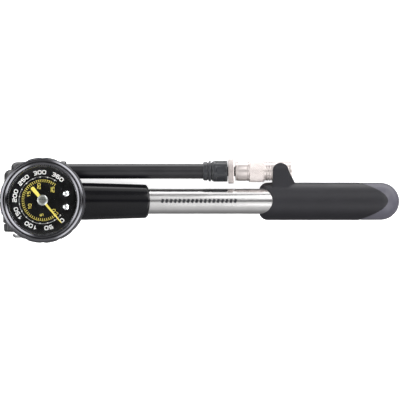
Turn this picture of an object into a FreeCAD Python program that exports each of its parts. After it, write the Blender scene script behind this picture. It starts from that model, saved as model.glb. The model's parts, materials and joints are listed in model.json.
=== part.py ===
import FreeCAD, Part

import math
import os

import Sketcher

# A bicycle shock pump, lying on its back with the dial upwards.
# +X runs along the barrel from the gauge to the handle's end, +Y points to the hose,
# +Z points up out of the dial. The origin is the middle of the pump's outline, at the
# height of the surface that it rests on. Millimetres.

V = FreeCAD.Vector

# The driving dimensions. Names that end in _x, _y or _z are places along that axis.
DIMENSIONS = {
    # barrel, its cover and the handle share one axis, this high above the floor
    "axis_z": 11.5,
    "barrel_radius": 7.7,
    "barrel_wall": 1.5,
    "barrel_start_x": -84.0,
    "barrel_end_x": 104.5,
    "sleeve_start_x": -82.0,
    "sleeve_end_x": -31.0,
    "sleeve_radius": 11.35,
    "sleeve_end_radius": 10.0,
    "sleeve_end_bow": 22.0,
    "spigot_radius": 9.2,
    "spigot_end_x": -66.0,
    # gauge
    "gauge_x": -95.2,
    "pedestal_radius": 11.4,
    "pedestal_top_z": 23.0,
    "case_radius": 22.4,
    "case_wall": 1.5,
    "case_floor": 1.2,
    "case_top_z": 30.2,
    "bumper_radius": 25.7,
    "bumper_top_z": 31.2,
    "bumper_step_z": 28.9,
    "scallop_count": 16.0,
    "scallop_radius": 5.0,
    "scallop_depth": 0.35,
    "bezel_radius": 24.4,
    "bezel_inner_radius": 21.2,
    "bezel_top_z": 33.0,
    "lens_thickness": 1.0,
    "dial_radius": 20.7,
    "dial_z": 28.6,
    "dial_thickness": 0.6,
    "rivet_x": 14.1,
    "rivet_y": 4.0,
    "rivet_radius": 1.8,
    "needle_z": 29.45,
    "needle_thickness": 0.3,
    "needle_length": 18.2,
    "needle_tail": 10.1,
    "needle_rest_angle": -50.0,
    "hub_radius": 3.2,
    # gauge movement
    "tube_ring_radius": 16.0,
    "tube_width": 2.2,
    "tube_height": 2.0,
    "tube_wall": 0.4,
    "tube_z": 24.6,
    "pivot_y": 9.6,
    "sector_radius": 8.0,
    "sector_z": 26.0,
    "plate_thickness": 0.5,
    "base_z": 24.9,
    "bridge_z": 27.7,
    "arbor_radius": 0.5,
    "tail_length": 4.0,
    "link_z": 26.8,
    # head, valves and the stack of parts on the cross axis
    "cross_x": -109.7,
    "cross_radius": 11.4,
    "cross_low_y": -13.3,
    "cross_high_y": 11.5,
    "cross_bore": 4.0,
    "neck_radius": 10.9,
    "chamber_radius": 4.5,
    "chamber_start_x": -98.0,
    "passage_radius": 1.5,
    "seat_thickness": 2.0,
    "poppet_length": 2.4,
    "cap_radius": 10.9,
    "cap_low_y": -18.7,
    "cap_high_y": -13.9,
    "cap_plug_radius": 7.5,
    "cap_plug_y": -8.1,
    "button_radius": 5.8,
    "button_low_y": -22.3,
    "button_recess": 2.5,
    "button_stem_radius": 2.0,
    "housing_low_y": 11.8,
    "housing_high_y": 19.2,
    "housing_radius": 10.9,
    "post_radius": 4.4,
    "swivel_cap_radius": 6.7,
    "swivel_cap_y": 24.0,
    # hose and the valve connector on its end
    "hose_y": 18.4,
    "hose_radius": 4.6,
    "hose_bore": 2.2,
    "gallery_y": 17.2,
    "boss_radius": 5.6,
    "boss_end_x": -97.0,
    "ferrule_end_x": -82.8,
    "ferrule_radius": 6.2,
    "crimp_start_x": 1.2,
    "crimp_end_x": 7.18,
    "collar_start_x": 7.2,
    "collar_end_x": 16.1,
    "collar_radius": 6.4,
    "wheel_start_x": 16.5,
    "wheel_end_x": 20.0,
    "wheel_radius": 7.5,
    "body_start_x": 20.9,
    "body_end_x": 29.1,
    "body_radius": 5.9,
    "knurl_end_x": 38.4,
    "knurl_radius": 6.6,
    "nose_end_x": 55.4,
    "nose_radius": 5.75,
    "socket_radius": 3.65,
    "socket_depth": 8.4,
    # handle
    "grip_front_x": 35.7,
    "grip_front_radius": 11.5,
    "grip_rear_radius": 11.5,
    "grip_nose_length": 5.0,
    "grip_nose_radius": 8.2,
    "grip_bore": 8.05,
    "bore_end_x": 108.0,
    "mouth_half_width": 7.8,
    "mouth_end_x": 43.1,
    "mouth_corner": 7.7,
    "tongue_tip_x": 113.1,
    "tongue_focal": 1.96,
    "dome_centre_x": 109.7,
    "end_cap_recess": 0.1,
    "clip_start_x": 43.4,
    "clip_end_x": 53.1,
    "clip_foot_x": 57.7,
    "clip_foot_y": 10.1,
    "clip_gap": 0.45,
    "clip_wall": 2.1,
    "clip_slope": 39.0,
    # piston and rod
    "rod_radius": 3.0,
    "rod_end_x": 112.0,
    "piston_start_x": -82.5,
    "piston_length": 10.0,
    "piston_clearance": 0.05,
    "core_radius": 5.0,
    "core_end_x": 113.4,
}


class Size:
    """A number together with the spreadsheet expression that gives it."""

    def __init__(self, value, text):
        self.value = value
        self.text = text

    def __add__(self, other):
        return self.joined("+", other, self.value + value_of(other))

    def __sub__(self, other):
        return self.joined("-", other, self.value - value_of(other))

    def __mul__(self, other):
        return self.joined("*", other, self.value * value_of(other))

    def __truediv__(self, other):
        return self.joined("/", other, self.value / value_of(other))

    def __neg__(self):
        return Size(-self.value, f"(0 - {self.text})")

    def joined(self, sign, other, value):
        return Size(value, f"({self.text} {sign} {text_of(other)})")


def value_of(item):
    return item.value if isinstance(item, Size) else float(item)


def text_of(item):
    return item.text if isinstance(item, Size) else f"({float(item)!r})"


class Sheet:
    """The document's spreadsheet: each driving dimension is read as an attribute."""

    def __init__(self, document, dimensions):
        self.cells = document.addObject("Spreadsheet::Sheet", "Sizes")
        for row, (name, value) in enumerate(dimensions.items(), start=1):
            self.cells.set(f"A{row}", name)
            self.cells.set(f"B{row}", str(value))
            self.cells.setAlias(f"B{row}", name)
            setattr(self, name, Size(value, f"Sizes.{name}"))


doc = FreeCAD.newDocument("shock_pump")
d = Sheet(doc, DIMENSIONS)
doc.recompute()

subparts = []


def keep(item, label):
    """Names a finished sub-part and puts it on the list that is written out."""
    item.Label = label
    subparts.append(item)
    return item


def bind(item, name, size):
    """Sets a property from a size and binds it to the spreadsheet."""
    item.setExpression(name, text_of(size))


def place(item, base, turn_axis=V(0, 0, 1), turn=0.0):
    """Puts an object at a base point of three sizes, turned by an angle in degrees."""
    corner = V(*[value_of(size) for size in base])
    item.Placement = FreeCAD.Placement(corner, FreeCAD.Rotation(turn_axis, turn))
    for letter, size in zip("xyz", base):
        if isinstance(size, Size):
            bind(item, f"Placement.Base.{letter}", size)


def point_at(turn, along, across=0.0):
    """The place of a point after a turn about the origin, in degrees."""
    angle = math.radians(turn)
    return (
        along * math.cos(angle) - across * math.sin(angle),
        along * math.sin(angle) + across * math.cos(angle),
    )


# ---- Sketches and the bodies made from them ----


class Corner:
    """A corner of an outline; bulge is the radius of the arc that leads to it.

    The arc bends outwards from the outline. With no bulge the edge is straight.
    """

    def __init__(self, along, across, bulge=None):
        self.along = along
        self.across = across
        self.bulge = bulge


class Ring:
    """A circle in an outline list."""

    def __init__(self, along, across, radius):
        self.along = along
        self.across = across
        self.radius = radius


def corners(*pairs):
    return [pair if isinstance(pair, Corner) else Corner(*pair) for pair in pairs]


def turning_side(points):
    """1 where a closed outline runs anticlockwise, and -1 where it runs clockwise."""
    double_area = 0.0
    for index, (along, across) in enumerate(points):
        before = points[index - 1]
        double_area += before[0] * across - along * before[1]
    return math.copysign(1.0, double_area)


def arc_middle(start, end, radius, side):
    """The middle point of an arc between two points, bent to the right of the run."""
    run = end[0] - start[0], end[1] - start[1]
    chord = math.hypot(*run)
    rise = radius - math.sqrt(max(radius * radius - chord * chord / 4.0, 0.0))
    shift = side * rise / chord
    centre = (start[0] + end[0]) / 2.0, (start[1] + end[1]) / 2.0
    return centre[0] + run[1] * shift, centre[1] - run[0] * shift


class Drawing:
    """A sketch on one of a body's own origin planes, filled with closed outlines."""

    def __init__(self, body, name, plane_role, swapped=False):
        self.sketch = body.newObject("Sketcher::SketchObject", name)
        plane = next(f for f in body.Origin.OriginFeatures if f.Role == plane_role)
        self.sketch.AttachmentSupport = [(plane, "")]
        self.sketch.MapMode = "FlatFace"
        self.swapped = swapped

    def vector(self, along, across):
        return V(across, along, 0) if self.swapped else V(along, across, 0)

    def fix(self, kind, geometry, position, size):
        """A distance from the sketch's origin, bound to the spreadsheet."""
        data = (kind, -1, 1, geometry, position, value_of(size))
        index = self.sketch.addConstraint(Sketcher.Constraint(*data))
        if isinstance(size, Size):
            bind(self.sketch, f"Constraints[{index}]", size)

    def fix_point(self, geometry, position, along, across):
        kinds = ("DistanceY", "DistanceX") if self.swapped else ("DistanceX", "DistanceY")
        self.fix(kinds[0], geometry, position, along)
        self.fix(kinds[1], geometry, position, across)

    def fix_radius(self, geometry, radius):
        data = ("Radius", geometry, value_of(radius))
        index = self.sketch.addConstraint(Sketcher.Constraint(*data))
        if isinstance(radius, Size):
            bind(self.sketch, f"Constraints[{index}]", radius)

    def add_ring(self, ring):
        centre = self.vector(value_of(ring.along), value_of(ring.across))
        circle = Part.Circle(centre, V(0, 0, 1), value_of(ring.radius))
        geometry = self.sketch.addGeometry(circle)
        self.fix_point(geometry, 3, ring.along, ring.across)
        self.fix_radius(geometry, ring.radius)

    def add_outline(self, outline):
        points = [(value_of(c.along), value_of(c.across)) for c in outline]
        side = turning_side(points)
        edges = []
        for index, corner in enumerate(outline):
            edges.append(self.add_edge(points[index - 1], points[index], corner.bulge, side))
        for index, (geometry, start, end) in enumerate(edges):
            after = edges[(index + 1) % len(edges)]
            joint = Sketcher.Constraint("Coincident", geometry, end, after[0], after[1])
            self.sketch.addConstraint(joint)
            self.fix_point(geometry, end, outline[index].along, outline[index].across)
            if outline[index].bulge is not None:
                self.fix_bend(geometry, outline[index - 1], outline[index])

    def fix_bend(self, geometry, before, corner):
        """Fixes an arc's size: its radius, or where the middle of a half circle lies."""
        run_along = value_of(corner.along) - value_of(before.along)
        run_across = value_of(corner.across) - value_of(before.across)
        half_chord = math.hypot(run_along, run_across) / 2.0
        if value_of(corner.bulge) - half_chord > 1e-6:
            self.fix_radius(geometry, corner.bulge)
        elif abs(run_along) > abs(run_across):
            self.fix("DistanceX" if self.swapped else "DistanceY", geometry, 3, corner.across)
        else:
            self.fix("DistanceY" if self.swapped else "DistanceX", geometry, 3, corner.along)

    def add_edge(self, start, end, bulge, side):
        """Adds a line or an arc, and tells which of its ends is its start."""
        first, last = self.vector(*start), self.vector(*end)
        if bulge is None:
            geometry = self.sketch.addGeometry(Part.LineSegment(first, last))
            return geometry, 1, 2
        middle = self.vector(*arc_middle(start, end, value_of(bulge), side))
        geometry = self.sketch.addGeometry(Part.Arc(first, middle, last))
        in_order = (self.sketch.getPoint(geometry, 1) - first).Length < 1e-6
        return (geometry, 1, 2) if in_order else (geometry, 2, 1)

    def add(self, *outlines):
        for outline in outlines:
            if isinstance(outline, Ring):
                self.add_ring(outline)
            else:
                self.add_outline(corners(*outline))
        return self.sketch


def as_size(item):
    return item if isinstance(item, Size) else Size(float(item), text_of(item))


# The sketch plane for a turning axis, whether the outline's first number is the
# sketch's second one, and the name of the sketch's axis that the outline turns about.
TURNING = {
    "X": ("XY_Plane", False, "H_Axis"),
    "Y": ("XY_Plane", True, "V_Axis"),
    "Z": ("XZ_Plane", True, "V_Axis"),
}


def new_body(name):
    return doc.addObject("PartDesign::Body", name)


def turned(name, axis, through, *outlines, angle=360.0):
    """A body turned about a line along X, Y or Z.

    Outlines give places along that axis and radii. through is where the line lies on
    the two other axes, in the order X, Y, Z.
    """
    plane_role, swapped, axis_name = TURNING[axis]
    body = new_body(name)
    sketch = Drawing(body, name + "_profile", plane_role, swapped).add(*outlines)
    feature = body.newObject("PartDesign::Revolution", name + "_turned")
    feature.Profile = sketch
    feature.ReferenceAxis = (sketch, [axis_name])
    feature.Angle = angle
    sketch.Visibility = False
    base = list(through)
    base.insert("XYZ".index(axis), 0.0)
    place(body, base)
    return body


def plate(name, low, high, *outlines, at=(0.0, 0.0), turn=0.0):
    """A body cut out of flat stock between two heights, outlined in X and Y."""
    body = new_body(name)
    sketch = Drawing(body, name + "_outline", "XY_Plane").add(*outlines)
    pad = body.newObject("PartDesign::Pad", name + "_pad")
    pad.Profile = sketch
    bind(pad, "Length", as_size(high) - low)
    place(body, (at[0], at[1], low), turn=turn)
    return body


# ---- Primitives and booleans ----


AXIS_TURNS = {
    "X": (V(0, 1, 0), 90.0),
    "Y": (V(1, 0, 0), -90.0),
    "Z": (V(0, 0, 1), 0.0),
}


def rod(name, axis, through, radius, start, end):
    """A plain cylinder between two places along X, Y or Z."""
    item = doc.addObject("Part::Cylinder", name)
    bind(item, "Radius", radius)
    bind(item, "Height", as_size(end) - start)
    base = list(through)
    base.insert("XYZ".index(axis), start)
    place(item, base, *AXIS_TURNS[axis])
    return item


def block(name, low, high):
    """A plain box between two corners."""
    item = doc.addObject("Part::Box", name)
    for side, start, end in zip(("Length", "Width", "Height"), low, high):
        bind(item, side, as_size(end) - start)
    place(item, low)
    return item


def ring_cord(name, axis, centre, radius, cord_radius):
    """A ring of round section about a line along X, Y or Z."""
    item = doc.addObject("Part::Torus", name)
    bind(item, "Radius1", radius)
    bind(item, "Radius2", cord_radius)
    place(item, centre, *AXIS_TURNS[axis])
    return item


def joined(name, *items):
    item = doc.addObject("Part::MultiFuse", name)
    item.Shapes = list(items)
    item.Refine = True
    return item


def cut(name, base, *tools):
    item = doc.addObject("Part::Cut", name)
    item.Base = base
    item.Tool = tools[0] if len(tools) == 1 else joined(name + "_tools", *tools)
    item.Refine = True
    return item


def common(name, first, second):
    item = doc.addObject("Part::Common", name)
    item.Base = first
    item.Tool = second
    return item


def group(name, *items):
    """Several separate solids in one node."""
    item = doc.addObject("Part::Compound", name)
    item.Links = list(items)
    return item


def coil_spring(name, axis, centre, radius, wire_radius, length, turns):
    """A round wire wound along X, Y or Z, starting at centre."""
    path = doc.addObject("Part::Helix", name + "_path")
    bind(path, "Radius", radius)
    bind(path, "Height", length)
    bind(path, "Pitch", as_size(length) / turns)
    section = doc.addObject("Part::Circle", name + "_section")
    bind(section, "Radius", wire_radius)
    place(section, (as_size(radius), 0.0, 0.0), V(1, 0, 0), 90.0)
    wire = doc.addObject("Part::Sweep", name)
    wire.Sections = [section]
    wire.Spine = (path, [])
    wire.Solid = True
    wire.Frenet = True
    place(wire, centre, *AXIS_TURNS[axis])
    return wire


# ---- Barrel, cover and rod guide ----

MAIN = (0.0, d.axis_z)
BARREL_BORE = d.barrel_radius - d.barrel_wall
FIT = 0.05


def make_barrel():
    outline = (
        (d.barrel_start_x, BARREL_BORE),
        (d.barrel_end_x, BARREL_BORE),
        (d.barrel_end_x, d.barrel_radius - 0.3),
        (d.barrel_end_x - 0.3, d.barrel_radius),
        (d.barrel_start_x, d.barrel_radius),
    )
    return keep(turned("barrel", "X", MAIN, outline), "barrel")


def make_barrel_sleeve():
    """The tapered cover over the head's spigot and the barrel's first stretch."""
    start, end = d.sleeve_start_x, d.sleeve_end_x
    rounding = 1.9
    outline = (
        (start, d.spigot_radius + FIT),
        (d.spigot_end_x + FIT, d.spigot_radius + FIT),
        (d.spigot_end_x + FIT, d.barrel_radius + FIT),
        (end, d.barrel_radius + FIT),
        (end, d.sleeve_end_radius - rounding),
        Corner(end - rounding, d.sleeve_end_radius, rounding),
        (d.gauge_x + d.bumper_radius - 1.0, d.sleeve_radius),
        (start, d.sleeve_radius),
    )
    blank = turned("sleeve_blank", "X", MAIN, outline)
    bow = rod("sleeve_bow", "Z", (end - d.sleeve_end_bow, 0.0), d.sleeve_end_bow, 0.0, 24.0)
    rear = block("sleeve_rear", (start, -12.0, 0.0), (end - d.sleeve_end_bow, 12.0, 24.0))
    limit = joined("sleeve_limit", bow, rear)
    return keep(common("barrel_sleeve", blank, limit), "barrel_sleeve")


def make_barrel_end():
    """The plug that guides the rod, its wiper ring and the bumper ring before it."""
    flange_end = d.barrel_end_x + 2.0
    guide_start = d.barrel_end_x - 6.5
    groove_start = d.barrel_end_x - 2.0
    groove_end = d.barrel_end_x
    rod_bore = d.rod_radius + FIT
    outline = (
        (guide_start, rod_bore),
        (groove_start, rod_bore),
        (groove_start, d.rod_radius + 1.2),
        (groove_end, d.rod_radius + 1.2),
        (groove_end, rod_bore),
        (flange_end, rod_bore),
        (flange_end, d.barrel_radius - 0.6),
        Corner(flange_end - 0.6, d.barrel_radius, 0.6),
        (d.barrel_end_x, d.barrel_radius),
        (d.barrel_end_x, BARREL_BORE - 0.02),
        (guide_start, BARREL_BORE - 0.02),
    )
    keep(turned("rod_guide", "X", MAIN, outline), "rod_guide")
    wiper = (
        (groove_start + 0.1, rod_bore + 0.03),
        (groove_end - 0.1, rod_bore + 0.03),
        (groove_end - 0.1, d.rod_radius + 1.15),
        (groove_start + 0.1, d.rod_radius + 1.15),
    )
    keep(turned("rod_wiper", "X", MAIN, wiper), "rod_wiper")
    stop = (
        (guide_start - 2.5, d.rod_radius + 0.35),
        (guide_start - 0.02, d.rod_radius + 0.35),
        (guide_start - 0.02, BARREL_BORE - 0.1),
        (guide_start - 2.5, BARREL_BORE - 0.6),
    )
    keep(turned("stroke_bumper", "X", MAIN, stop), "stroke_bumper")


# ---- Piston, rod and handle ----


def make_piston():
    piston_end = d.piston_start_x + d.piston_length
    radius = BARREL_BORE - d.piston_clearance
    groove_radius = radius - 1.3
    groove_start = d.piston_start_x + 3.0
    groove_end = groove_start + 2.2
    outline = (
        (d.piston_start_x, 0.0),
        (d.piston_start_x, radius - 0.8),
        (d.piston_start_x + 0.8, radius),
        (groove_start, radius),
        (groove_start, groove_radius),
        (groove_end, groove_radius),
        (groove_end, radius),
        (piston_end, radius),
        (piston_end, d.rod_radius),
        (piston_end - 6.0, d.rod_radius),
        (piston_end - 6.0, 0.0),
    )
    keep(turned("piston", "X", MAIN, outline), "piston")
    seal = (
        (groove_start + 0.1, groove_radius + 0.03),
        (groove_end - 0.1, groove_radius + 0.03),
        (groove_end - 0.1, radius - 0.3),
        (groove_end - 0.6, radius + 0.02),
        (groove_start + 0.6, radius + 0.02),
        (groove_start + 0.1, radius - 0.3),
    )
    keep(turned("piston_seal", "X", MAIN, seal), "piston_seal")
    shaft = (
        (piston_end - 6.0, 0.0),
        (piston_end - 6.0, d.rod_radius),
        (d.rod_end_x, d.rod_radius),
        (d.rod_end_x, 0.0),
    )
    keep(turned("piston_rod", "X", MAIN, shaft), "piston_rod")


def handle_outline(shrink, start, bore):
    """The handle's section: a straight grip, a round nose in front and a domed end."""
    front = d.grip_front_radius - shrink
    rear = d.grip_rear_radius - shrink
    nose_end = start + d.grip_nose_length
    return (
        (d.bore_end_x, 0.0),
        (d.bore_end_x, bore),
        (start, bore),
        (start, d.grip_nose_radius),
        Corner(nose_end, front, NOSE_ARC),
        (d.dome_centre_x, rear),
        Corner(d.dome_centre_x + rear, 0.0, rear),
    )


# The nose's arc meets the grip's side along its length.
NOSE_RISE = d.grip_front_radius - d.grip_nose_radius
NOSE_ARC = (d.grip_nose_length * d.grip_nose_length + NOSE_RISE * NOSE_RISE) / (NOSE_RISE * 2.0)


def tongue_prism(name):
    """The stretch of the handle that the grip covers: its rear edge is a parabola."""
    half_width = 13.0
    # the prism stands clear of the handle below and above, so that no face just touches it
    bottom, height = -1.0, 26.0
    reach = half_width * half_width / (4.0 * value_of(d.tongue_focal))
    front = value_of(d.tongue_tip_x) - value_of(d.grip_front_x) + 1.0
    first, last = V(reach, -half_width, bottom), V(reach, half_width, bottom)
    # the tangents at a parabola's two ends meet as far beyond its tip as the ends lie before it
    curve = Part.BezierCurve()
    curve.setPoles([first, V(-reach, 0, bottom), last])
    sides = Part.makePolygon([last, V(front, half_width, bottom), V(front, -half_width, bottom), first])
    face = Part.Face(Part.Wire([curve.toShape()] + sides.Edges))
    item = doc.addObject("Part::Feature", name)
    item.Shape = face.extrude(V(0, 0, height))
    place(item, (d.tongue_tip_x, 0.0, 0.0), turn=180.0)
    return item


def mouth_cutter():
    """The round-cornered notch in the grip's front, open above and below the barrel."""
    half, corner = d.mouth_half_width, d.mouth_corner
    start, end = d.grip_front_x - 2.0, d.mouth_end_x
    outline = (
        (start, -half),
        (end - corner, -half),
        Corner(end, -half + corner, corner),
        (end, half - corner),
        Corner(end - corner, half, corner),
        (start, half),
    )
    return plate("mouth_notch", -1.0, 25.0, outline)


def clip_hook():
    """The hook that holds the connector's nose, before its clearances are cut."""
    top_radius = (d.clip_end_x - d.clip_start_x) / 2.0
    inner = d.nose_radius + d.clip_gap
    outer = inner + d.clip_wall
    outline = (
        (d.clip_start_x, 4.0),
        (d.clip_foot_x, 4.0),
        (d.clip_foot_x, d.clip_foot_y),
        (d.clip_end_x, d.hose_y),
        Corner(d.clip_start_x, d.hose_y, top_radius),
    )
    prism = plate("clip_outline", d.axis_z, d.axis_z + outer, outline)
    arch = rod("clip_arch", "X", (d.hose_y, d.axis_z), outer, d.clip_start_x - 1.0, d.clip_foot_x)
    foot = block(
        "clip_foot",
        (d.clip_start_x - 1.0, 0.0, d.axis_z),
        (d.clip_foot_x, d.hose_y, d.axis_z + outer),
    )
    level = common("clip_level", prism, joined("clip_section", arch, foot))
    return cut("clip_blank", level, clip_slope(d.axis_z + outer))


def clip_slope(top):
    """What lies above the hook's sloping side, which runs down from its top's edge."""
    side = block(
        "clip_slope",
        (d.clip_end_x, -1.0, top),
        (d.clip_end_x + 12.0, d.hose_y + 12.0, top + 12.0),
    )
    side.Placement.Rotation = FreeCAD.Rotation(V(0, 1, 0), value_of(d.clip_slope))
    return side


def make_handle():
    blank = turned("grip_blank", "X", MAIN, handle_outline(0.0, d.grip_front_x, d.grip_bore))
    core_pocket = rod("core_pocket", "X", MAIN, d.core_radius, d.bore_end_x - 1.0, d.core_end_x)
    inner = d.nose_radius + d.clip_gap
    shell = joined("grip_with_clip", common("grip_shell", blank, tongue_prism("tongue")), clip_hook())
    grip = cut(
        "handle_grip",
        shell,
        rod("grip_bore", "X", MAIN, d.grip_bore, d.grip_front_x - 1.0, d.bore_end_x),
        mouth_cutter(),
        core_pocket,
        rod("clip_bore", "X", (d.hose_y, d.axis_z), inner, d.clip_start_x - 2.0, d.clip_foot_x + 3.0),
    )
    keep(grip, "handle_grip")
    cap_start = d.grip_front_x + 50.0
    cap_blank = turned(
        "cap_blank", "X", MAIN, handle_outline(d.end_cap_recess, cap_start, d.grip_bore)
    )
    cap = cut(
        "handle_end_cap",
        cap_blank,
        tongue_prism("tongue_gap"),
        rod("cap_pocket", "X", MAIN, d.core_radius, d.bore_end_x - 1.0, d.core_end_x),
    )
    keep(cap, "handle_end_cap")


def make_handle_core():
    """The metal nut moulded into the handle, which the rod's end screws into."""
    radius = d.core_radius - FIT
    outline = (
        (d.bore_end_x + FIT, d.rod_radius + 0.01),
        (d.rod_end_x, d.rod_radius + 0.01),
        (d.rod_end_x, 0.0),
        (d.core_end_x - FIT, 0.0),
        (d.core_end_x - FIT, radius),
        (d.bore_end_x + FIT, radius),
    )
    keep(turned("handle_core", "X", MAIN, outline), "handle_core")


# ---- Head and its valves ----

CROSS = (d.cross_x, d.axis_z)
GAUGE = (d.gauge_x, 0.0)
PORT_RADIUS = 4.0
PORT_FLOOR = d.pedestal_top_z - 6.0
SEAT_FACE = d.barrel_start_x - d.seat_thickness


def make_head():
    """The head joins the barrel, the gauge, the bleed valve and the hose swivel."""
    solid = joined(
        "head_blank",
        rod("cross_tube", "Y", CROSS, d.cross_radius, d.cross_low_y, d.cross_high_y),
        rod("pedestal", "Z", GAUGE, d.pedestal_radius, 0.0, d.pedestal_top_z),
        rod("neck", "X", MAIN, d.neck_radius, d.cross_x, d.sleeve_start_x),
        rod("spigot", "X", MAIN, d.spigot_radius, d.sleeve_start_x, d.spigot_end_x),
    )
    plug_bore = d.cap_plug_radius + FIT
    head = cut(
        "pump_head",
        solid,
        rod("barrel_socket", "X", MAIN, d.barrel_radius + FIT, d.barrel_start_x, d.spigot_end_x),
        rod("chamber", "X", MAIN, d.chamber_radius, d.chamber_start_x, d.barrel_start_x),
        rod("gallery", "X", MAIN, d.passage_radius, d.cross_x, d.chamber_start_x),
        rod("cross_bore", "Y", CROSS, d.cross_bore, d.cross_low_y, d.cross_high_y),
        rod("plug_bore", "Y", CROSS, plug_bore, d.cross_low_y, d.cap_plug_y),
        rod("gauge_passage", "Z", GAUGE, d.passage_radius, d.axis_z, d.pedestal_top_z),
        rod("gauge_port", "Z", GAUGE, PORT_RADIUS, PORT_FLOOR, d.pedestal_top_z),
    )
    keep(head, "pump_head")


def make_check_valve():
    hole = 1.2
    seat = (
        (SEAT_FACE, hole),
        (d.barrel_start_x, hole),
        (d.barrel_start_x, d.chamber_radius - FIT),
        (SEAT_FACE, d.chamber_radius - FIT),
    )
    keep(turned("check_valve_seat", "X", MAIN, seat), "check_valve_seat")
    face = SEAT_FACE - 0.03
    poppet_end = face - d.poppet_length
    poppet = (
        (face, 0.0),
        (face, 2.2),
        (poppet_end + 0.8, 2.2),
        (poppet_end + 0.8, 1.2),
        (poppet_end - 1.2, 1.0),
        (poppet_end - 1.2, 0.0),
    )
    keep(turned("check_valve_poppet", "X", MAIN, poppet), "check_valve_poppet")
    start = d.chamber_start_x + 0.3
    length = poppet_end - start + 0.4
    spring = coil_spring("check_spring", "X", (start, 0.0, d.axis_z), 1.65, 0.22, length, 6.0)
    keep(spring, "check_valve_spring")


def make_bleed_valve():
    """The knob-like cap screwed into the head, and the push button through it."""
    recess_floor = d.cap_low_y + d.button_recess
    stem_bore = d.button_stem_radius + 0.35
    low, high = d.cap_low_y, d.cap_high_y
    cap = (
        (recess_floor, stem_bore),
        (recess_floor, d.button_radius + 0.35),
        (low, d.button_radius + 0.35),
        (low, d.cap_radius - 1.2),
        Corner(low + 1.2, d.cap_radius, 1.2),
        (high, d.cap_radius),
        (high, d.cap_radius - 0.7),
        (d.cross_low_y, d.cap_radius - 0.7),
        (d.cross_low_y, d.cap_plug_radius),
        (d.cap_plug_y - FIT, d.cap_plug_radius),
        (d.cap_plug_y - FIT, stem_bore),
    )
    keep(turned("bleed_cap", "Y", CROSS, cap), "bleed_cap")
    crown = 3.0
    under = low + 0.1
    disc_start = d.cap_plug_y + 0.5
    button = (
        (d.button_low_y, 0.0),
        (d.button_low_y, d.button_radius - crown),
        Corner(d.button_low_y + crown, d.button_radius, crown),
        (under, d.button_radius),
        (under, d.button_stem_radius),
        (under - 1.5, d.button_stem_radius),
        (under - 1.5, 0.0),
    )
    keep(turned("bleed_button", "Y", CROSS, button), "bleed_button")
    stem = (
        (under - 1.5, 0.0),
        (under - 1.5, d.button_stem_radius),
        (disc_start, d.button_stem_radius),
        (disc_start, 3.3),
        (disc_start + 1.0, 3.3),
        (disc_start + 1.0, 0.0),
    )
    keep(turned("bleed_stem", "Y", CROSS, stem), "bleed_stem")
    seal = (
        (d.cap_plug_y + FIT, d.button_stem_radius + 0.02),
        (disc_start, d.button_stem_radius + 0.02),
        (disc_start, 3.2),
        (d.cap_plug_y + FIT, 3.0),
    )
    keep(turned("bleed_seal", "Y", CROSS, seal), "bleed_seal")
    wire = 0.3
    start = under + wire + 0.02
    length = recess_floor - under - wire * 2.0 - 0.04
    base = (d.cross_x, start, d.axis_z)
    spring = coil_spring("bleed_coil", "Y", base, 3.9, wire, length, 2.3)
    keep(spring, "bleed_spring")


def make_swivel_post():
    """The hollow bolt that the hose housing turns on, with its cap and its seals."""
    start = 2.0
    flange_end = d.housing_high_y + 1.9
    port_y = d.gallery_y
    passage = 1.2
    outline = (
        (start, passage),
        (port_y, passage),
        (port_y, 0.0),
        (flange_end, 0.0),
        (flange_end, 5.9),
        (d.housing_high_y + FIT, 5.9),
        (d.housing_high_y + FIT, d.post_radius),
        (d.cross_high_y + FIT, d.post_radius),
        (d.cross_high_y + FIT, d.cross_bore - FIT),
        (start, d.cross_bore - FIT),
    )
    blank = turned("post_blank", "Y", CROSS, outline)
    port = rod("post_port", "X", (port_y - 0.6, d.axis_z), 0.6, d.cross_x - 6.0, d.cross_x + 6.0)
    groove_places = (d.housing_low_y + 1.2, d.housing_high_y - 0.7)
    grooves = [post_groove(index, place_y) for index, place_y in enumerate(groove_places)]
    keep(cut("swivel_post", blank, port, *grooves), "swivel_post")
    rings = [
        ring_cord(f"post_ring_{index}", "Y", (d.cross_x, place_y, d.axis_z), 3.98, 0.4)
        for index, place_y in enumerate(groove_places)
    ]
    keep(group("swivel_seals", *rings), "swivel_seals")
    washer = (
        (d.cross_high_y + 0.01, d.post_radius + 0.1),
        (d.housing_low_y - 0.02, d.post_radius + 0.1),
        (d.housing_low_y - 0.02, d.housing_radius - 1.5),
        (d.cross_high_y + 0.01, d.housing_radius - 1.5),
    )
    keep(turned("swivel_washer", "Y", CROSS, washer), "swivel_washer")
    rounding = 3.5
    cap_start = d.housing_high_y + 0.1
    cap = (
        (cap_start, 5.95),
        (flange_end + FIT, 5.95),
        (flange_end + FIT, 0.0),
        (d.swivel_cap_y, 0.0),
        (d.swivel_cap_y, d.swivel_cap_radius - rounding),
        Corner(d.swivel_cap_y - rounding, d.swivel_cap_radius, rounding),
        (cap_start, d.swivel_cap_radius),
    )
    keep(turned("swivel_cap", "Y", CROSS, cap), "swivel_cap")


def post_groove(index, place_y):
    outline = (
        (place_y - 0.45, 3.55),
        (place_y + 0.45, 3.55),
        (place_y + 0.45, 5.0),
        (place_y - 0.45, 5.0),
    )
    return turned(f"post_groove_{index}", "Y", CROSS, outline)


# ---- Hose and connector ----

HOSE = (d.hose_y, d.axis_z)


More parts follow.
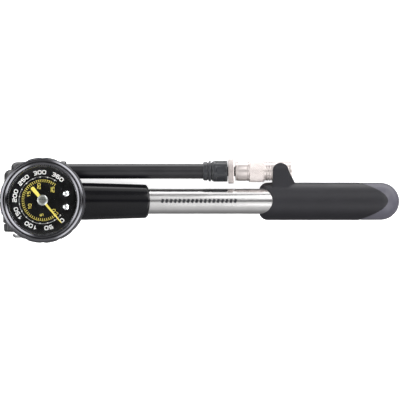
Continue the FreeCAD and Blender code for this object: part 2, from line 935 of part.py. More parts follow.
def make_swivel_housing():
    """The turning block at the hose's start: a round hub with a boss for the hose."""
    inner_rounding, outer_rounding = 1.6, 3.7
    low, high = d.housing_low_y, d.housing_high_y
    radius = d.housing_radius
    hub = (
        (low, 0.0),
        (low, radius - inner_rounding),
        Corner(low + inner_rounding, radius, inner_rounding),
        (high - outer_rounding, radius),
        Corner(high, radius - outer_rounding, outer_rounding),
        (high, 0.0),
    )
    bore = d.post_radius + FIT
    blank = joined(
        "housing_blank",
        turned("housing_hub", "Y", CROSS, hub),
        rod("housing_boss", "X", HOSE, d.boss_radius, d.cross_x, d.boss_end_x),
    )
    gallery = rod("housing_gallery", "X", (d.gallery_y, d.axis_z), 0.8, d.cross_x, d.boss_end_x)
    cap_room = rod("cap_room", "Y", CROSS, d.swivel_cap_radius + 0.3, high, d.swivel_cap_y + 2.0)
    housing = cut(
        "swivel_housing",
        blank,
        rod("housing_bore", "Y", CROSS, bore, low - 1.0, high + 1.0),
        cap_room,
        gallery,
        rod("barb_socket", "X", HOSE, d.hose_bore, d.boss_end_x - 3.0, d.boss_end_x + 1.0),
    )
    keep(housing, "swivel_housing")


def barb_outline(start, grip_start, step, count):
    """A fitting with saw-tooth rings that hold the hose, thick end first."""
    bore = 1.2
    root = d.hose_bore - 0.35
    crest = d.hose_bore - 0.02
    points = [(start, bore), (start, crest), (grip_start, crest)]
    place_x = grip_start
    for _ in range(count):
        points += [(place_x + 0.02 * step, root), (place_x + step, crest)]
        place_x = place_x + step
    return points + [(place_x, bore)]


def mirrored(points, about):
    """The same outline, end for end."""
    return [(about * 2.0 - along, across) for along, across in reversed(points)]


def make_hose():
    start = d.boss_end_x + 2.0
    end = d.crimp_end_x
    outline = (
        (start, d.hose_bore),
        (end, d.hose_bore),
        (end, d.hose_radius),
        (start, d.hose_radius),
    )
    keep(turned("hose", "X", HOSE, outline), "hose")
    socket_end = d.boss_end_x - 3.0
    barb = barb_outline(socket_end + 0.05, start + 1.0, 2.4, 4)
    keep(turned("swivel_barb", "X", HOSE, barb), "swivel_barb")
    barb_end = d.collar_start_x + 1.8
    half = barb_outline(as_size(0.0), as_size(3.0), 2.4, 4)
    outline = mirrored(half, barb_end / 2.0)
    keep(turned("connector_barb", "X", HOSE, outline), "connector_barb")


def make_hose_ferrule():
    """The collar that grips the hose where it leaves the swivel."""
    start, end = d.boss_end_x, d.ferrule_end_x
    wall_end = start + 2.0
    radius = d.ferrule_radius
    waist = radius - 0.45
    outline = (
        (start, d.hose_bore + 0.02),
        (wall_end, d.hose_bore + 0.02),
        (wall_end, d.hose_radius + 0.02),
        (end, d.hose_radius + 0.02),
        (end, radius - 0.6),
        Corner(end - 0.6, radius, 0.6),
        (end - 3.0, radius),
        (end - 3.4, waist),
        (end - 5.0, waist),
        (end - 5.4, radius),
        (start, radius),
    )
    keep(turned("hose_ferrule", "X", HOSE, outline), "hose_ferrule")


def make_connector_collar():
    """The crimped ring on the hose's end and the faceted grip collar behind it."""
    start, end = d.crimp_start_x, d.crimp_end_x
    inner = d.hose_radius + 0.02
    ring = d.collar_radius - 0.85
    ridge = d.collar_radius - 0.15
    crimp = (
        (start, inner),
        (end, inner),
        (end, ridge),
        (start + 3.3, ridge),
        (start + 3.0, ring - 0.5),
        (start + 2.7, ring),
        (start + 0.4, ring),
        (start, ring - 0.4),
    )
    keep(turned("crimp_ring", "X", HOSE, crimp), "crimp_ring")
    low, high = d.collar_start_x, d.collar_end_x
    radius = d.collar_radius
    stem_start = low + 1.8
    collar = (
        (low, 2.25),
        (stem_start, 2.25),
        (stem_start, 3.0),
        (high, 3.0),
        (high, radius - 0.5),
        (high - 0.5, radius),
        (low + 0.4, radius),
        (low, radius - 0.4),
    )
    blank = turned("collar_blank", "X", HOSE, collar)
    flats = [collar_flat(index) for index in range(6)]
    keep(cut("connector_collar", blank, *flats), "connector_collar")


# How far the collar's uppermost flat leans towards +Y, in degrees.
FLAT_LEAN = 5.0


def collar_flat(index):
    """A block that planes one of the collar's six flats."""
    depth = 0.45
    side = block(
        f"collar_flat_{index}",
        (d.collar_start_x + 2.0, -6.0, d.collar_radius - depth),
        (d.collar_end_x - 1.4, 6.0, d.collar_radius + 3.0),
    )
    turn = FreeCAD.Rotation(V(1, 0, 0), 60.0 * index - FLAT_LEAN)
    reach = V(value_of(d.collar_start_x) + 2.0, -6.0, value_of(d.collar_radius) - depth)
    centre = V(0.0, value_of(d.hose_y), value_of(d.axis_z))
    side.setExpression("Placement.Base.x", None)
    side.setExpression("Placement.Base.z", None)
    side.Placement = FreeCAD.Placement(centre + turn.multVec(reach), turn)
    return side


def make_connector():
    """Stem, thumb wheel, plain body, knurled sleeve, nose, seal and depressor."""
    stem_start = d.collar_start_x + 1.8
    stem_end = d.body_start_x + 5.0
    stem_radius, stem_bore = 2.98, 1.3
    keep(
        turned("connector_stem", "X", HOSE, tube_outline(stem_start, stem_end, stem_bore, stem_radius)),
        "connector_stem",
    )
    make_thumb_wheel(stem_radius + FIT)
    tail_end = d.knurl_end_x - 2.0
    tail_radius = 4.55
    body = (
        (d.body_start_x, stem_radius + 0.02),
        (stem_end, stem_radius + 0.02),
        (stem_end, stem_bore),
        (tail_end, stem_bore),
        (tail_end, tail_radius),
        (d.body_end_x, tail_radius),
        (d.body_end_x, d.body_radius - 0.3),
        (d.body_end_x - 0.3, d.body_radius),
        (d.body_start_x + 0.3, d.body_radius),
        (d.body_start_x, d.body_radius - 0.3),
    )
    keep(turned("connector_body", "X", HOSE, body), "connector_body")
    nose_start = tail_end + 0.15
    sleeve = (
        (d.body_end_x + 0.1, tail_radius + FIT),
        (nose_start, tail_radius + FIT),
        (nose_start, 5.0),
        (d.knurl_end_x, 5.0),
        (d.knurl_end_x, d.knurl_radius - 0.35),
        (d.knurl_end_x - 0.35, d.knurl_radius),
        (d.body_end_x + 0.45, d.knurl_radius),
        (d.body_end_x + 0.1, d.knurl_radius - 0.35),
    )
    keep(turned("coupler_sleeve", "X", HOSE, sleeve), "coupler_sleeve")
    make_nose(nose_start)
    pin = (
        (stem_start + 4.0, 0.0),
        (stem_start + 4.0, 0.85),
        (SOCKET_FLOOR - 1.0, 0.85),
        (SOCKET_FLOOR - 0.4, 0.5),
        (SOCKET_FLOOR - 0.4, 0.0),
    )
    keep(turned("depressor_pin", "X", HOSE, pin), "depressor_pin")


SOCKET_FLOOR = d.nose_end_x - d.socket_depth


def tube_outline(start, end, bore, radius):
    return ((start, bore), (end, bore), (end, radius), (start, radius))


def make_thumb_wheel(bore):
    low, high = d.wheel_start_x, d.wheel_end_x
    radius = d.wheel_radius
    outline = (
        (low, bore),
        (high, bore),
        (high, radius - 0.5),
        (high - 0.4, radius),
        (low + 0.4, radius),
        (low, radius - 0.5),
    )
    keep(turned("thumb_wheel", "X", HOSE, outline), "thumb_wheel")


def make_nose(start):
    """The nose screws onto a tyre or shock valve; its seal lies at the thread's foot."""
    seal_start = SOCKET_FLOOR - 1.5
    radius = d.nose_radius
    groove, depth = 0.6, 0.35
    seal_radius = d.socket_radius - 0.3
    outline = [
        (start, 1.3),
        (seal_start, 1.3),
        (seal_start, seal_radius),
        (SOCKET_FLOOR, seal_radius),
        (SOCKET_FLOOR, d.socket_radius),
        (d.nose_end_x - 0.3, d.socket_radius),
        (d.nose_end_x, d.socket_radius + 0.3),
        (d.nose_end_x, radius - 0.4),
        (d.nose_end_x - 0.4, radius),
    ]
    for index in (2, 1, 0):
        centre = d.knurl_end_x + 1.2 + 1.5 * index
        outline += [
            (centre + groove / 2.0, radius),
            (centre + groove / 2.0, radius - depth),
            (centre - groove / 2.0, radius - depth),
            (centre - groove / 2.0, radius),
        ]
    outline += [
        (d.knurl_end_x + 0.02, radius),
        (d.knurl_end_x + 0.02, 4.97),
        (start, 4.97),
    ]
    keep(turned("coupler_nose", "X", HOSE, outline), "coupler_nose")
    ring = tube_outline(seal_start + 0.02, SOCKET_FLOOR, 1.35, seal_radius - 0.02)
    keep(turned("valve_seal", "X", HOSE, ring), "valve_seal")


# ---- Gauge ----


def make_gauge_case():
    wall_inner = d.case_radius - d.case_wall
    floor_top = d.pedestal_top_z + d.case_floor
    outline = (
        (d.pedestal_top_z, PORT_RADIUS + 0.02),
        (d.pedestal_top_z, d.case_radius),
        (d.case_top_z, d.case_radius),
        (d.case_top_z, wall_inner),
        (floor_top, wall_inner),
        (floor_top, PORT_RADIUS + 0.02),
    )
    keep(turned("gauge_case", "Z", GAUGE, outline), "gauge_case")


def make_bumper():
    """The rubber ring round the gauge, with shallow hollows for grip."""
    low, step, top = d.pedestal_top_z + 0.2, d.bumper_step_z, d.bumper_top_z
    radius = d.bumper_radius
    outline = (
        (low, d.case_radius + FIT),
        (low, radius - 1.6),
        Corner(low + 1.6, radius, 1.6),
        (top - 0.9, radius),
        Corner(top, radius - 0.9, 0.9),
        (top, d.bezel_radius + FIT),
        (step, d.bezel_radius + FIT),
        (step, d.case_radius + FIT),
    )
    blank = turned("bumper_blank", "Z", GAUGE, outline)
    count = int(value_of(d.scallop_count))
    hollows = [bumper_hollow(index, count) for index in range(count)]
    keep(cut("gauge_bumper", blank, *hollows), "gauge_bumper")


def bumper_hollow(index, count):
    reach = value_of(d.bumper_radius) + value_of(d.scallop_radius) - value_of(d.scallop_depth)
    hollow_x, hollow_y = point_at(360.0 * index / count, reach)
    centre = (d.gauge_x + hollow_x, hollow_y)
    return rod(f"bumper_hollow_{index}", "Z", centre, d.scallop_radius, 23.0, 32.0)


def make_bezel():
    """The glossy ring with two raised beads that holds the lens down."""
    low = d.bumper_step_z + 0.05
    lens_top = d.case_top_z + d.lens_thickness + 0.05
    top = d.bezel_top_z
    inner, outer = d.bezel_inner_radius, d.bezel_radius
    lip = outer + 0.5
    outline = (
        (low, d.case_radius + FIT),
        (lens_top, d.case_radius + FIT),
        (lens_top, inner),
        (top - 0.6, inner),
        Corner(top - 0.6, inner + 1.4, 0.72),
        (top - 1.0, inner + 1.9),
        Corner(top - 0.6, lip - 0.35, 0.9),
        (d.bumper_top_z + 0.5, lip),
        (d.bumper_top_z + FIT, lip),
        (d.bumper_top_z + FIT, outer),
        (low, outer),
    )
    keep(turned("bezel_ring", "Z", GAUGE, outline), "bezel_ring")


def make_lens_and_dial():
    lens_low = d.case_top_z + 0.02
    lens = ((lens_low, 0.0), (lens_low, d.case_radius), (lens_low + d.lens_thickness, d.case_radius))
    lens += ((lens_low + d.lens_thickness, 0.0),)
    keep(turned("gauge_lens", "Z", GAUGE, lens), "gauge_lens")
    dial_top = d.dial_z + d.dial_thickness
    rivet_holes = [Ring(d.rivet_x, d.rivet_y * side, 0.8) for side in (1.0, -1.0)]
    outlines = [Ring(0.0, 0.0, d.dial_radius), Ring(0.0, 0.0, 1.0)] + rivet_holes
    keep(plate("gauge_dial", d.dial_z, dial_top, *outlines, at=GAUGE), "gauge_dial")
    rivets = [dial_rivet(index, side) for index, side in enumerate((1.0, -1.0))]
    keep(group("dial_rivets", *rivets), "dial_rivets")


def dial_rivet(index, side):
    """A hollow domed rivet: its shank ends just under the dial."""
    top = d.dial_z + d.dial_thickness
    crown = 0.75
    outline = (
        (d.dial_z - 0.3, 0.35),
        (d.dial_z - 0.3, 0.78),
        (top, 0.78),
        (top, d.rivet_radius),
        (top + 0.2, d.rivet_radius),
        Corner(top + crown, 0.6, 2.2),
        (top + crown - 0.2, 0.35),
    )
    return turned(f"rivet_{index}", "Z", (d.gauge_x + d.rivet_x, d.rivet_y * side), outline)


def make_gauge_stem():
    """The threaded inlet, with an arm and a block that carry the coiled tube."""
    floor_top = d.pedestal_top_z + d.case_floor
    passage = 1.1
    stem = tube_outline(PORT_FLOOR + 0.6, floor_top, passage, PORT_RADIUS - 0.02)
    flange = tube_outline(floor_top, floor_top + 0.6, passage, 5.5)
    reach = d.tube_ring_radius + 1.6
    half = 2.6
    base = joined(
        "stem_blank",
        turned("stem_thread", "Z", GAUGE, stem),
        turned("stem_flange", "Z", GAUGE, flange),
        block("stem_arm", (d.gauge_x - half, -reach, floor_top), (d.gauge_x + half, -4.0, floor_top + 0.6)),
        block(
            "stem_block",
            (d.gauge_x - half, -reach, floor_top),
            (d.gauge_x + half, -reach + 4.2, d.tube_z + d.tube_height + 0.4),
        ),
    )
    room = block(
        "tube_room",
        (d.gauge_x, -reach - 1.0, d.tube_z - FIT),
        (d.gauge_x + half + 1.0, -reach + 5.0, d.tube_z + d.tube_height + FIT),
    )
    keep(cut("gauge_stem", base, room), "gauge_stem")
    seal_z = PORT_FLOOR + 0.3
    ring = tube_outline(seal_z - 0.28, seal_z + 0.28, 1.6, PORT_RADIUS - 0.05)
    keep(turned("stem_seal", "Z", GAUGE, ring), "stem_seal")


TUBE_START = -90.0
TAIL_ANGLE = 64.0

# The tube's tip lies level with the pin on the sector's tail, on the far side.
TAIL_PIN = point_at(TAIL_ANGLE, value_of(d.tail_length))
TIP_LEVEL = (value_of(d.pivot_y) + TAIL_PIN[1]) / value_of(d.tube_ring_radius)
TUBE_TIP = 180.0 - math.degrees(math.asin(TIP_LEVEL))


def make_bourdon_tube():
    """The flat coiled tube that uncurls under pressure."""
    low, high = d.tube_z, d.tube_z + d.tube_height
    inner = d.tube_ring_radius - d.tube_width / 2.0
    outer = d.tube_ring_radius + d.tube_width / 2.0
    wall = d.tube_wall
    shell = tube_outline(low, high, inner, outer)
    hollow = tube_outline(low + wall, high - wall, inner + wall, outer - wall)
    tube = turned("tube_coil", "Z", GAUGE, shell, hollow, angle=TUBE_TIP - TUBE_START)
    tube.Placement = FreeCAD.Placement(tube.Placement.Base, FreeCAD.Rotation(V(0, 0, 1), TUBE_START))
    keep(tube, "bourdon_tube")
    tip_x, tip_y = point_at(TUBE_TIP, value_of(d.tube_ring_radius))
    centre = (d.gauge_x + tip_x, tip_y)
    boss = rod("tip_boss", "Z", centre, 1.3, high + 0.02, d.link_z - 0.05)
    pin = rod("tip_pin", "Z", centre, 0.35, high + 0.02, d.link_z + 0.7)
    keep(joined("tube_tip_pin", boss, pin), "tube_tip_pin")


def movement_plate(name, low, holes):
    """One of the two plates that carry the movement's pivots."""
    outline = (
        (-4.4, -5.4),
        (4.4, -5.4),
        (8.0, 11.0),
        (6.6, 13.0),
        (-1.4, 12.0),
    )
    return plate(name, low, low + d.plate_thickness, outline, *holes, at=GAUGE)


def make_movement():
    pivot_hole = Ring(0.0, 0.0, d.arbor_radius + FIT)
    base = movement_plate("base_plate", d.base_z, [pivot_hole])
    keep(base, "movement_base")
    keep(movement_plate("bridge_plate", d.bridge_z, [pivot_hole]), "movement_bridge")
    low = d.base_z + d.plate_thickness + 0.01
    high = d.bridge_z - 0.01
    posts = ((3.2, -4.0), (-3.2, -4.0), (6.2, 11.2))
    pillars = [
        rod(f"pillar_{index}", "Z", (d.gauge_x + place_x, place_y), 0.8, low, high)
        for index, (place_x, place_y) in enumerate(posts)
    ]
    keep(group("movement_pillars", *pillars), "movement_pillars")
    pivot = rod("pivot", "Z", (d.gauge_x, d.pivot_y), 0.6, low, high)
    keep(pivot, "sector_pivot")


# Gear teeth have straight flanks. Both gears have a module of 0.4.
TOOTH_PITCH = 9.0
SECTOR_TEETH = 9
PINION_TEETH = 8
FIRST_TOOTH = -90.0 - 7.0 * TOOTH_PITCH
LINK_PIN_RADIUS = 0.4


def tooth_outline(root, tip, root_half, tip_half):
    return ((root, -root_half), (tip, -tip_half), (tip, tip_half), (root, root_half))


def add_teeth(body, name, outline, count, angle, height):
    """Pads one tooth onto a body and repeats it round the body's own axis."""
    tooth = body.newObject("PartDesign::Pad", name + "_tooth")
    tooth.Profile = Drawing(body, name + "_tooth_outline", "XY_Plane").add(outline)
    bind(tooth, "Length", height)
    pattern = body.newObject("PartDesign::PolarPattern", name + "_teeth")
    pattern.Originals = [tooth]
    axis = next(f for f in body.Origin.OriginFeatures if f.Role == "Z_Axis")
    pattern.Axis = (axis, [""])
    pattern.Angle = angle
    pattern.Occurrences = count
    body.Tip = pattern
    return body


def make_sector():
    """The toothed sector that drives the needle, with a short tail for the link."""
    root = value_of(d.sector_radius) - 0.45
    margin = 4.0
    tail = TAIL_ANGLE - FIRST_TOOTH
    tail_end = value_of(d.tail_length) + 1.0
    half_width = 1.0
    outline = (
        point_at(-margin, root),
        Corner(*point_at(TOOTH_PITCH * (SECTOR_TEETH - 1) + margin, root), root),
        point_at(tail, tail_end, -half_width),
        point_at(tail, tail_end, half_width),
    )
    pivot_hole = Ring(0.0, 0.0, 0.65)
    top = d.sector_z + 0.6
    at = (d.gauge_x, d.pivot_y)
    body = plate("sector_blank", d.sector_z, top, outline, pivot_hole, at=at, turn=FIRST_TOOTH)
    tooth = tooth_outline(as_size(root - 0.3), d.sector_radius + 0.33, 0.36, 0.12)
    add_teeth(body, "sector", tooth, SECTOR_TEETH, TOOTH_PITCH * (SECTOR_TEETH - 1), 0.6)
    keep(body, "sector_gear")
    pin_x, pin_y = TAIL_PIN
    pin_place = (d.gauge_x + pin_x, d.pivot_y + pin_y)
    pin = rod("link_pin_rod", "Z", pin_place, LINK_PIN_RADIUS, top + 0.01, d.link_z + 0.75)
    keep(pin, "link_pin")


def make_link():
    """The bar from the sector's tail to the coiled tube's tip, slotted at the tip."""
    tail_x = TAIL_PIN[0]
    tip_x, height = point_at(TUBE_TIP, value_of(d.tube_ring_radius))
    half, eye = 1.3, 0.8
    slot_end = tip_x + 2.0 * tail_x + 0.6
    slot_start = tip_x - 0.6
    outline = (
        (tail_x, height + half),
        Corner(tail_x, height - half, half),
        (slot_start, height - half),
        Corner(slot_start, height + half, half),
    )
    slot = (
        (slot_start, height - eye),
        (slot_end, height - eye),
        (slot_end, height + eye),
        (slot_start, height + eye),
    )
    hole = Ring(tail_x, height, LINK_PIN_RADIUS + FIT)
    link = plate("link_bar", d.link_z, d.link_z + 0.4, outline, slot, hole, at=GAUGE)
    keep(link, "movement_link")


def make_needle():
    low = d.sector_z - 0.1
    height = 0.8
    body = plate("arbor", low, low + height, Ring(0.0, 0.0, 1.15), at=GAUGE, turn=22.5)
    add_teeth(body, "pinion", tooth_outline(0.9, 1.93, 0.33, 0.13), PINION_TEETH, 360.0, height)
    shaft = rod("arbor_shaft", "Z", GAUGE, d.arbor_radius, d.base_z + 0.1, d.needle_z)
    keep(joined("pinion_arbor", body, shaft), "pinion_arbor")
    wide, tip, tail = 0.85, 0.3, 1.25
    outline = (
        (-d.needle_tail, -tail),
        (-2.0, -wide),
        (2.0, -wide),
        (d.needle_length - 0.8, -tip),
        (d.needle_length, 0.0),
        (d.needle_length - 0.8, tip),
        (2.0, wide),
        (-2.0, wide),
        (-d.needle_tail, tail),
    )
    top = d.needle_z + d.needle_thickness
    needle = plate(
        "needle_blade", d.needle_z, top, outline, at=GAUGE, turn=value_of(d.needle_rest_angle)
    )
    keep(needle, "needle")
    hub_top = top + 0.42
    hub = (
        (top, 0.0),
        (top, d.hub_radius),
        (top + 0.15, d.hub_radius),
        Corner(hub_top, d.hub_radius - 0.5, 0.6),
        (hub_top, 1.5),
        (hub_top - 0.15, 1.3),
        (hub_top - 0.15, 0.0),
    )
    keep(turned("needle_cap", "Z", GAUGE, hub), "needle_hub")


MAKERS = (
    make_barrel,
    make_barrel_sleeve,
    make_barrel_end,
    make_piston,
    make_handle,
    make_handle_core,
    make_head,
    make_check_valve,
    make_bleed_valve,
    make_swivel_post,
    make_swivel_housing,
    make_hose,
    make_hose_ferrule,
    make_connector_collar,
    make_connector,
    make_gauge_case,
    make_bumper,
    make_bezel,
    make_lens_and_dial,
    make_gauge_stem,
    make_bourdon_tube,
    make_movement,
    make_sector,
    make_link,
    make_needle,
)


def check_document():
    """Stops if any object failed, or if a sub-part has no valid solid."""
    failed = [o.Name for o in doc.Objects if "Invalid" in o.State or "Error" in o.State]
    if failed:
        raise RuntimeError(f"failed objects: {failed}")
    for item in subparts:
        if item.Shape.isNull() or not item.Shape.isValid() or not item.Shape.Solids:
            raise RuntimeError(f"{item.Label} has no valid solid")


def main():
    for make in MAKERS:
        make()
    doc.recompute()
    check_document()
    os.makedirs("parts", exist_ok=True)
    for item in subparts:
        item.Shape.exportStep(f"parts/{item.Label}.step")
        box = item.Shape.BoundBox
        print(f"{item.Label:20} {len(item.Shape.Solids)} solid(s) {item.Shape.Volume:9.2f} mm3", box)


main()
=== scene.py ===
import cmath
import json
import math

import bmesh
import bpy
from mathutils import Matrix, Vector


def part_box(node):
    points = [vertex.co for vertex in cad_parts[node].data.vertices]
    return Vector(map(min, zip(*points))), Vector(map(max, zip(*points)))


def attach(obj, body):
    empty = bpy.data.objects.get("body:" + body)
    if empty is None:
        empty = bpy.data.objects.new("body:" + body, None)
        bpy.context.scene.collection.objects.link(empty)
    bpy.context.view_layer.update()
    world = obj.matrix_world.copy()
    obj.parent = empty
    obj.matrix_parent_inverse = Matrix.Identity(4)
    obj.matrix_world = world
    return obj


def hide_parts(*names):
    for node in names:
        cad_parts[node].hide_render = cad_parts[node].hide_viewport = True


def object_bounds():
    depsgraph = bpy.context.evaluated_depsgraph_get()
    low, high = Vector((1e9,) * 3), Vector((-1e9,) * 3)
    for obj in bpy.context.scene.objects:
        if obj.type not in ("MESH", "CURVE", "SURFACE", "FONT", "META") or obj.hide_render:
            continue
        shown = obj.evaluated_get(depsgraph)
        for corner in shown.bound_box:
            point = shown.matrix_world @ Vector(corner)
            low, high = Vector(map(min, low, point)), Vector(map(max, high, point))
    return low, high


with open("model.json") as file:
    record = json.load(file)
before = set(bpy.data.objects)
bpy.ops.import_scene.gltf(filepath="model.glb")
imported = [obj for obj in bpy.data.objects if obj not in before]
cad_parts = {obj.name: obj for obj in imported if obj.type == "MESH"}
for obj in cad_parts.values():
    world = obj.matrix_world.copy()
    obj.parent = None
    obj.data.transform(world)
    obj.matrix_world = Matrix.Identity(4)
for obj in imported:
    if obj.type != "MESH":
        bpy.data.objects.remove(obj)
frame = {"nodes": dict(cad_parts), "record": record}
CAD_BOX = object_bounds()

# The looks of a bicycle shock pump round its CAD frame. Lengths below are millimetres in the
# CAD's own axes: +X from the gauge to the handle's end, +Y towards the hose, +Z out of the dial.
# A turned piece's outline is a list of (place along its axis, radius, rounding of that corner).

MM = 0.001
TURN = 2.0 * math.pi
X, Y, Z = 0, 1, 2


# ---- Places taken from the CAD frame ----


class Box:
    """A CAD node's box at rest."""

    def __init__(self, node):
        low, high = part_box(node)
        self.low = low / MM
        self.high = high / MM
        self.middle = (self.low + self.high) / 2.0

    def span(self, axis):
        return self.low[axis], self.high[axis]

    def radius(self, axis):
        """Half of the node's larger width across an axis."""
        across = [k for k in (X, Y, Z) if k != axis]
        return max((self.high[k] - self.low[k]) / 2.0 for k in across)

    def turning(self, axis):
        """The node's two ends along an axis, and its radius about it."""
        return self.low[axis], self.high[axis], self.radius(axis)


MAIN = Box("barrel").middle
HOSE = Box("hose").middle
CROSS = Box("bleed_cap").middle
GAUGE = Box("gauge_case").middle

BARREL_RADIUS = Box("barrel").radius(X)
BARREL_WALL = 1.5
HOSE_RADIUS = Box("hose").radius(X)
HOSE_BORE = 2.2
ROD_RADIUS = Box("piston_rod").radius(X)
GRIP_BORE = 8.05
CLIP_GAP, CLIP_WALL = 0.45, 2.1
FIT = 0.05


# ---- Outlines ----


def arc(centre, start, end, steps):
    """Points of the shorter arc from start to end round a centre, as complex numbers."""
    radius = abs(start - centre)
    first = cmath.phase(start - centre)
    sweep = cmath.phase((end - centre) / (start - centre))
    return [centre + cmath.rect(radius, first + sweep * k / steps) for k in range(steps + 1)]


def corner_arc(before, here, after, rounding, shares):
    """The arc that rounds a corner, within the given shares of the edges before and after it."""
    to_before, to_after = before - here, after - here
    half = abs(cmath.phase(to_after / to_before)) / 2.0
    longest = min(abs(to_before) * shares[0], abs(to_after) * shares[1])
    reach = min(rounding / math.tan(half), longest)
    start = here + reach * to_before / abs(to_before)
    end = here + reach * to_after / abs(to_after)
    middle = (start + end) / 2.0 - here
    centre = here + middle / abs(middle) * reach / math.cos(half)
    steps = max(2, math.ceil((math.pi - 2.0 * half) / math.radians(11.0)))
    return arc(centre, start, end, steps)


def rounded(corners, closed=True):
    """An outline with its corners rounded, as a list of (along, across)."""
    places = [complex(corner[0], corner[1]) for corner in corners]
    # an edge is halved between two rounded corners, and nearly all of it is free beside a sharp one
    shares = [0.499 if len(corner) > 2 else 0.98 for corner in corners]
    points = []
    for index, corner in enumerate(corners):
        at_end = not closed and index in (0, len(corners) - 1)
        if len(corner) < 3 or at_end:
            points.append(places[index])
            continue
        following = (index + 1) % len(corners)
        before, after = places[index - 1], places[following]
        beside = (shares[index - 1], shares[following])
        points += corner_arc(before, places[index], after, corner[2], beside)
    return [(point.real, point.imag) for point in points]


def filled(outline, step, above):
    """The outline with more points wherever both ends of an edge lie above a radius."""
    points = []
    for index, (along, across) in enumerate(outline):
        last_along, last_across = outline[index - 1]
        length = math.hypot(along - last_along, across - last_across)
        parts = math.ceil(length / step) if min(across, last_across) > above else 1
        for part in range(1, parts + 1):
            share = part / parts
            here = last_along + (along - last_along) * share
            points.append((here, last_across + (across - last_across) * share))
    return points


def wave(value):
    """0 at every whole number and 1 half-way between, in straight lines."""
    return 1.0 - 2.0 * abs(value - math.floor(value) - 0.5)


# ---- Meshes ----


class Shape:
    """A mesh that is being put together."""

    def __init__(self):
        self.mesh = bmesh.new()

    def vertex(self, place):
        return self.mesh.verts.new(Vector(place) * MM)

    def skin(self, first, second):
        """Joins two rings of vertices with faces. Either may be a single pole."""
        count = max(len(first), len(second))
        for k in range(count if count > 1 else 0):
            after = k + 1
            loop = [
                first[k % len(first)],
                first[after % len(first)],
                second[after % len(second)],
                second[k % len(second)],
            ]
            self.mesh.faces.new(list(dict.fromkeys(loop)))

    def turn(self, axis, centre, outline, steps=160, shape=None):
        """Turns a closed outline about an axis. shape(along, angle, radius) may change a radius."""
        rows = []
        for along, radius in outline:
            row = []
            for step in range(steps if radius > 1e-6 else 1):
                angle = TURN * step / steps
                reach = shape(along, angle, radius) if shape else radius
                place = list(centre)
                place[axis] = along
                place[(axis + 1) % 3] += reach * math.cos(angle)
                place[(axis + 2) % 3] += reach * math.sin(angle)
                row.append(self.vertex(place))
            rows.append(row)
        for index, row in enumerate(rows):
            self.skin(rows[index - 1], row)
        return self

    def prism(self, outline, low, high, place):
        """A flat plate of an outline between two heights; place(u, v, height) puts each point."""
        floor = [self.vertex(place(u, v, low)) for u, v in outline]
        roof = [self.vertex(place(u, v, high)) for u, v in outline]
        self.skin(floor, roof)
        self.mesh.faces.new(floor[::-1])
        self.mesh.faces.new(roof)
        return self

    def stroke(self, points, width, low, high, place, closed=False):
        """A printed line of one width along some points."""
        path = [complex(u, v) for u, v in points]
        count = len(path)
        quads = []
        for index, here in enumerate(path):
            before = path[index - 1] if closed or index else None
            after = path[(index + 1) % count] if closed or index < count - 1 else None
            side = mitre(before, here, after) * width / 2.0
            edges = (here + side, here - side)
            corners = [(edges[0], low), (edges[1], low), (edges[1], high), (edges[0], high)]
            quads.append([self.vertex(place(at.real, at.imag, height)) for at, height in corners])
        for index in range(count if closed else count - 1):
            self.skin(quads[index], quads[(index + 1) % count])
        if not closed:
            self.mesh.faces.new(quads[0])
            self.mesh.faces.new(quads[-1][::-1])
        return self

    def piece(self, name, sharp=34.0):
        """Ends the mesh and makes an object of it."""
        bmesh.ops.recalc_face_normals(self.mesh, faces=self.mesh.faces)
        data = bpy.data.meshes.new(name)
        self.mesh.to_mesh(data)
        self.mesh.free()
        return shown(name, data, sharp)


def shown(name, data, sharp):
    data.shade_smooth()
    data.set_sharp_from_angle(angle=math.radians(sharp))
    item = bpy.data.objects.new(name, data)
    bpy.context.scene.collection.objects.link(item)
    return item


def mitre(before, here, after):
    """The sideways direction at a point of a line, longer at a corner so the width holds."""
    into = (here - before) / abs(here - before) if before is not None else None
    out = (after - here) / abs(after - here) if after is not None else into
    into = out if into is None else into
    along = (into + out) / abs(into + out)
    return along * 1j / max((along.conjugate() * into).real, 0.5)


def turned(name, axis, centre, corners, steps=160, sharp=34.0):
    return Shape().turn(axis, centre, rounded(corners), steps).piece(name, sharp)


def rod(axis, centre, radius, start, end, steps=96):
    """A plain cylinder, used to join to or cut from another solid."""
    corners = [(start, 0.0), (end, 0.0), (end, radius), (start, radius)]
    return turned("tool", axis, centre, corners, steps)


def upright(corners, low, high):
    """A prism that stands along Z, used to join to or cut from another solid."""
    return Shape().prism(rounded(corners), low, high, lambda u, v, height: (u, v, height)).piece("tool")


def add_boolean(base, operation, tool):
    """One step of joining or cutting; this solver keeps closed solids closed."""
    change = base.modifiers.new(operation, "BOOLEAN")
    change.operation = operation
    change.object = tool
    change.solver = "MANIFOLD"


def applied(name, base, tools, sharp=180.0):
    """The result of an object's modifiers, once the object and its tools are gone."""
    bpy.context.view_layer.update()
    view = bpy.context.evaluated_depsgraph_get()
    data = bpy.data.meshes.new_from_object(base.evaluated_get(view))
    data.name = name
    for item in [base] + tools:
        bpy.data.objects.remove(item)
    return shown(name, data, sharp)


def combined(base, operation, tool):
    add_boolean(base, operation, tool)
    return applied("tool", base, [tool])


def carved(name, base, steps, voxel, rounds):
    """Joins and cuts solids in turn, then softens every edge as moulded plastic is."""
    for operation, tool in steps:
        add_boolean(base, operation, tool)
    remesh = base.modifiers.new("even", "REMESH")
    remesh.mode = "VOXEL"
    remesh.voxel_size = voxel * MM
    relax = base.modifiers.new("relax", "SMOOTH")
    relax.factor = 0.5
    relax.iterations = rounds
    return applied(name, base, [tool for _, tool in steps])


# ---- Finishes ----


def feed(links, value, socket):
    """Links a node's output into a socket, or sets the socket to a plain value."""
    if isinstance(value, bpy.types.NodeSocket):
        links.new(value, socket)
    else:
        socket.default_value = value


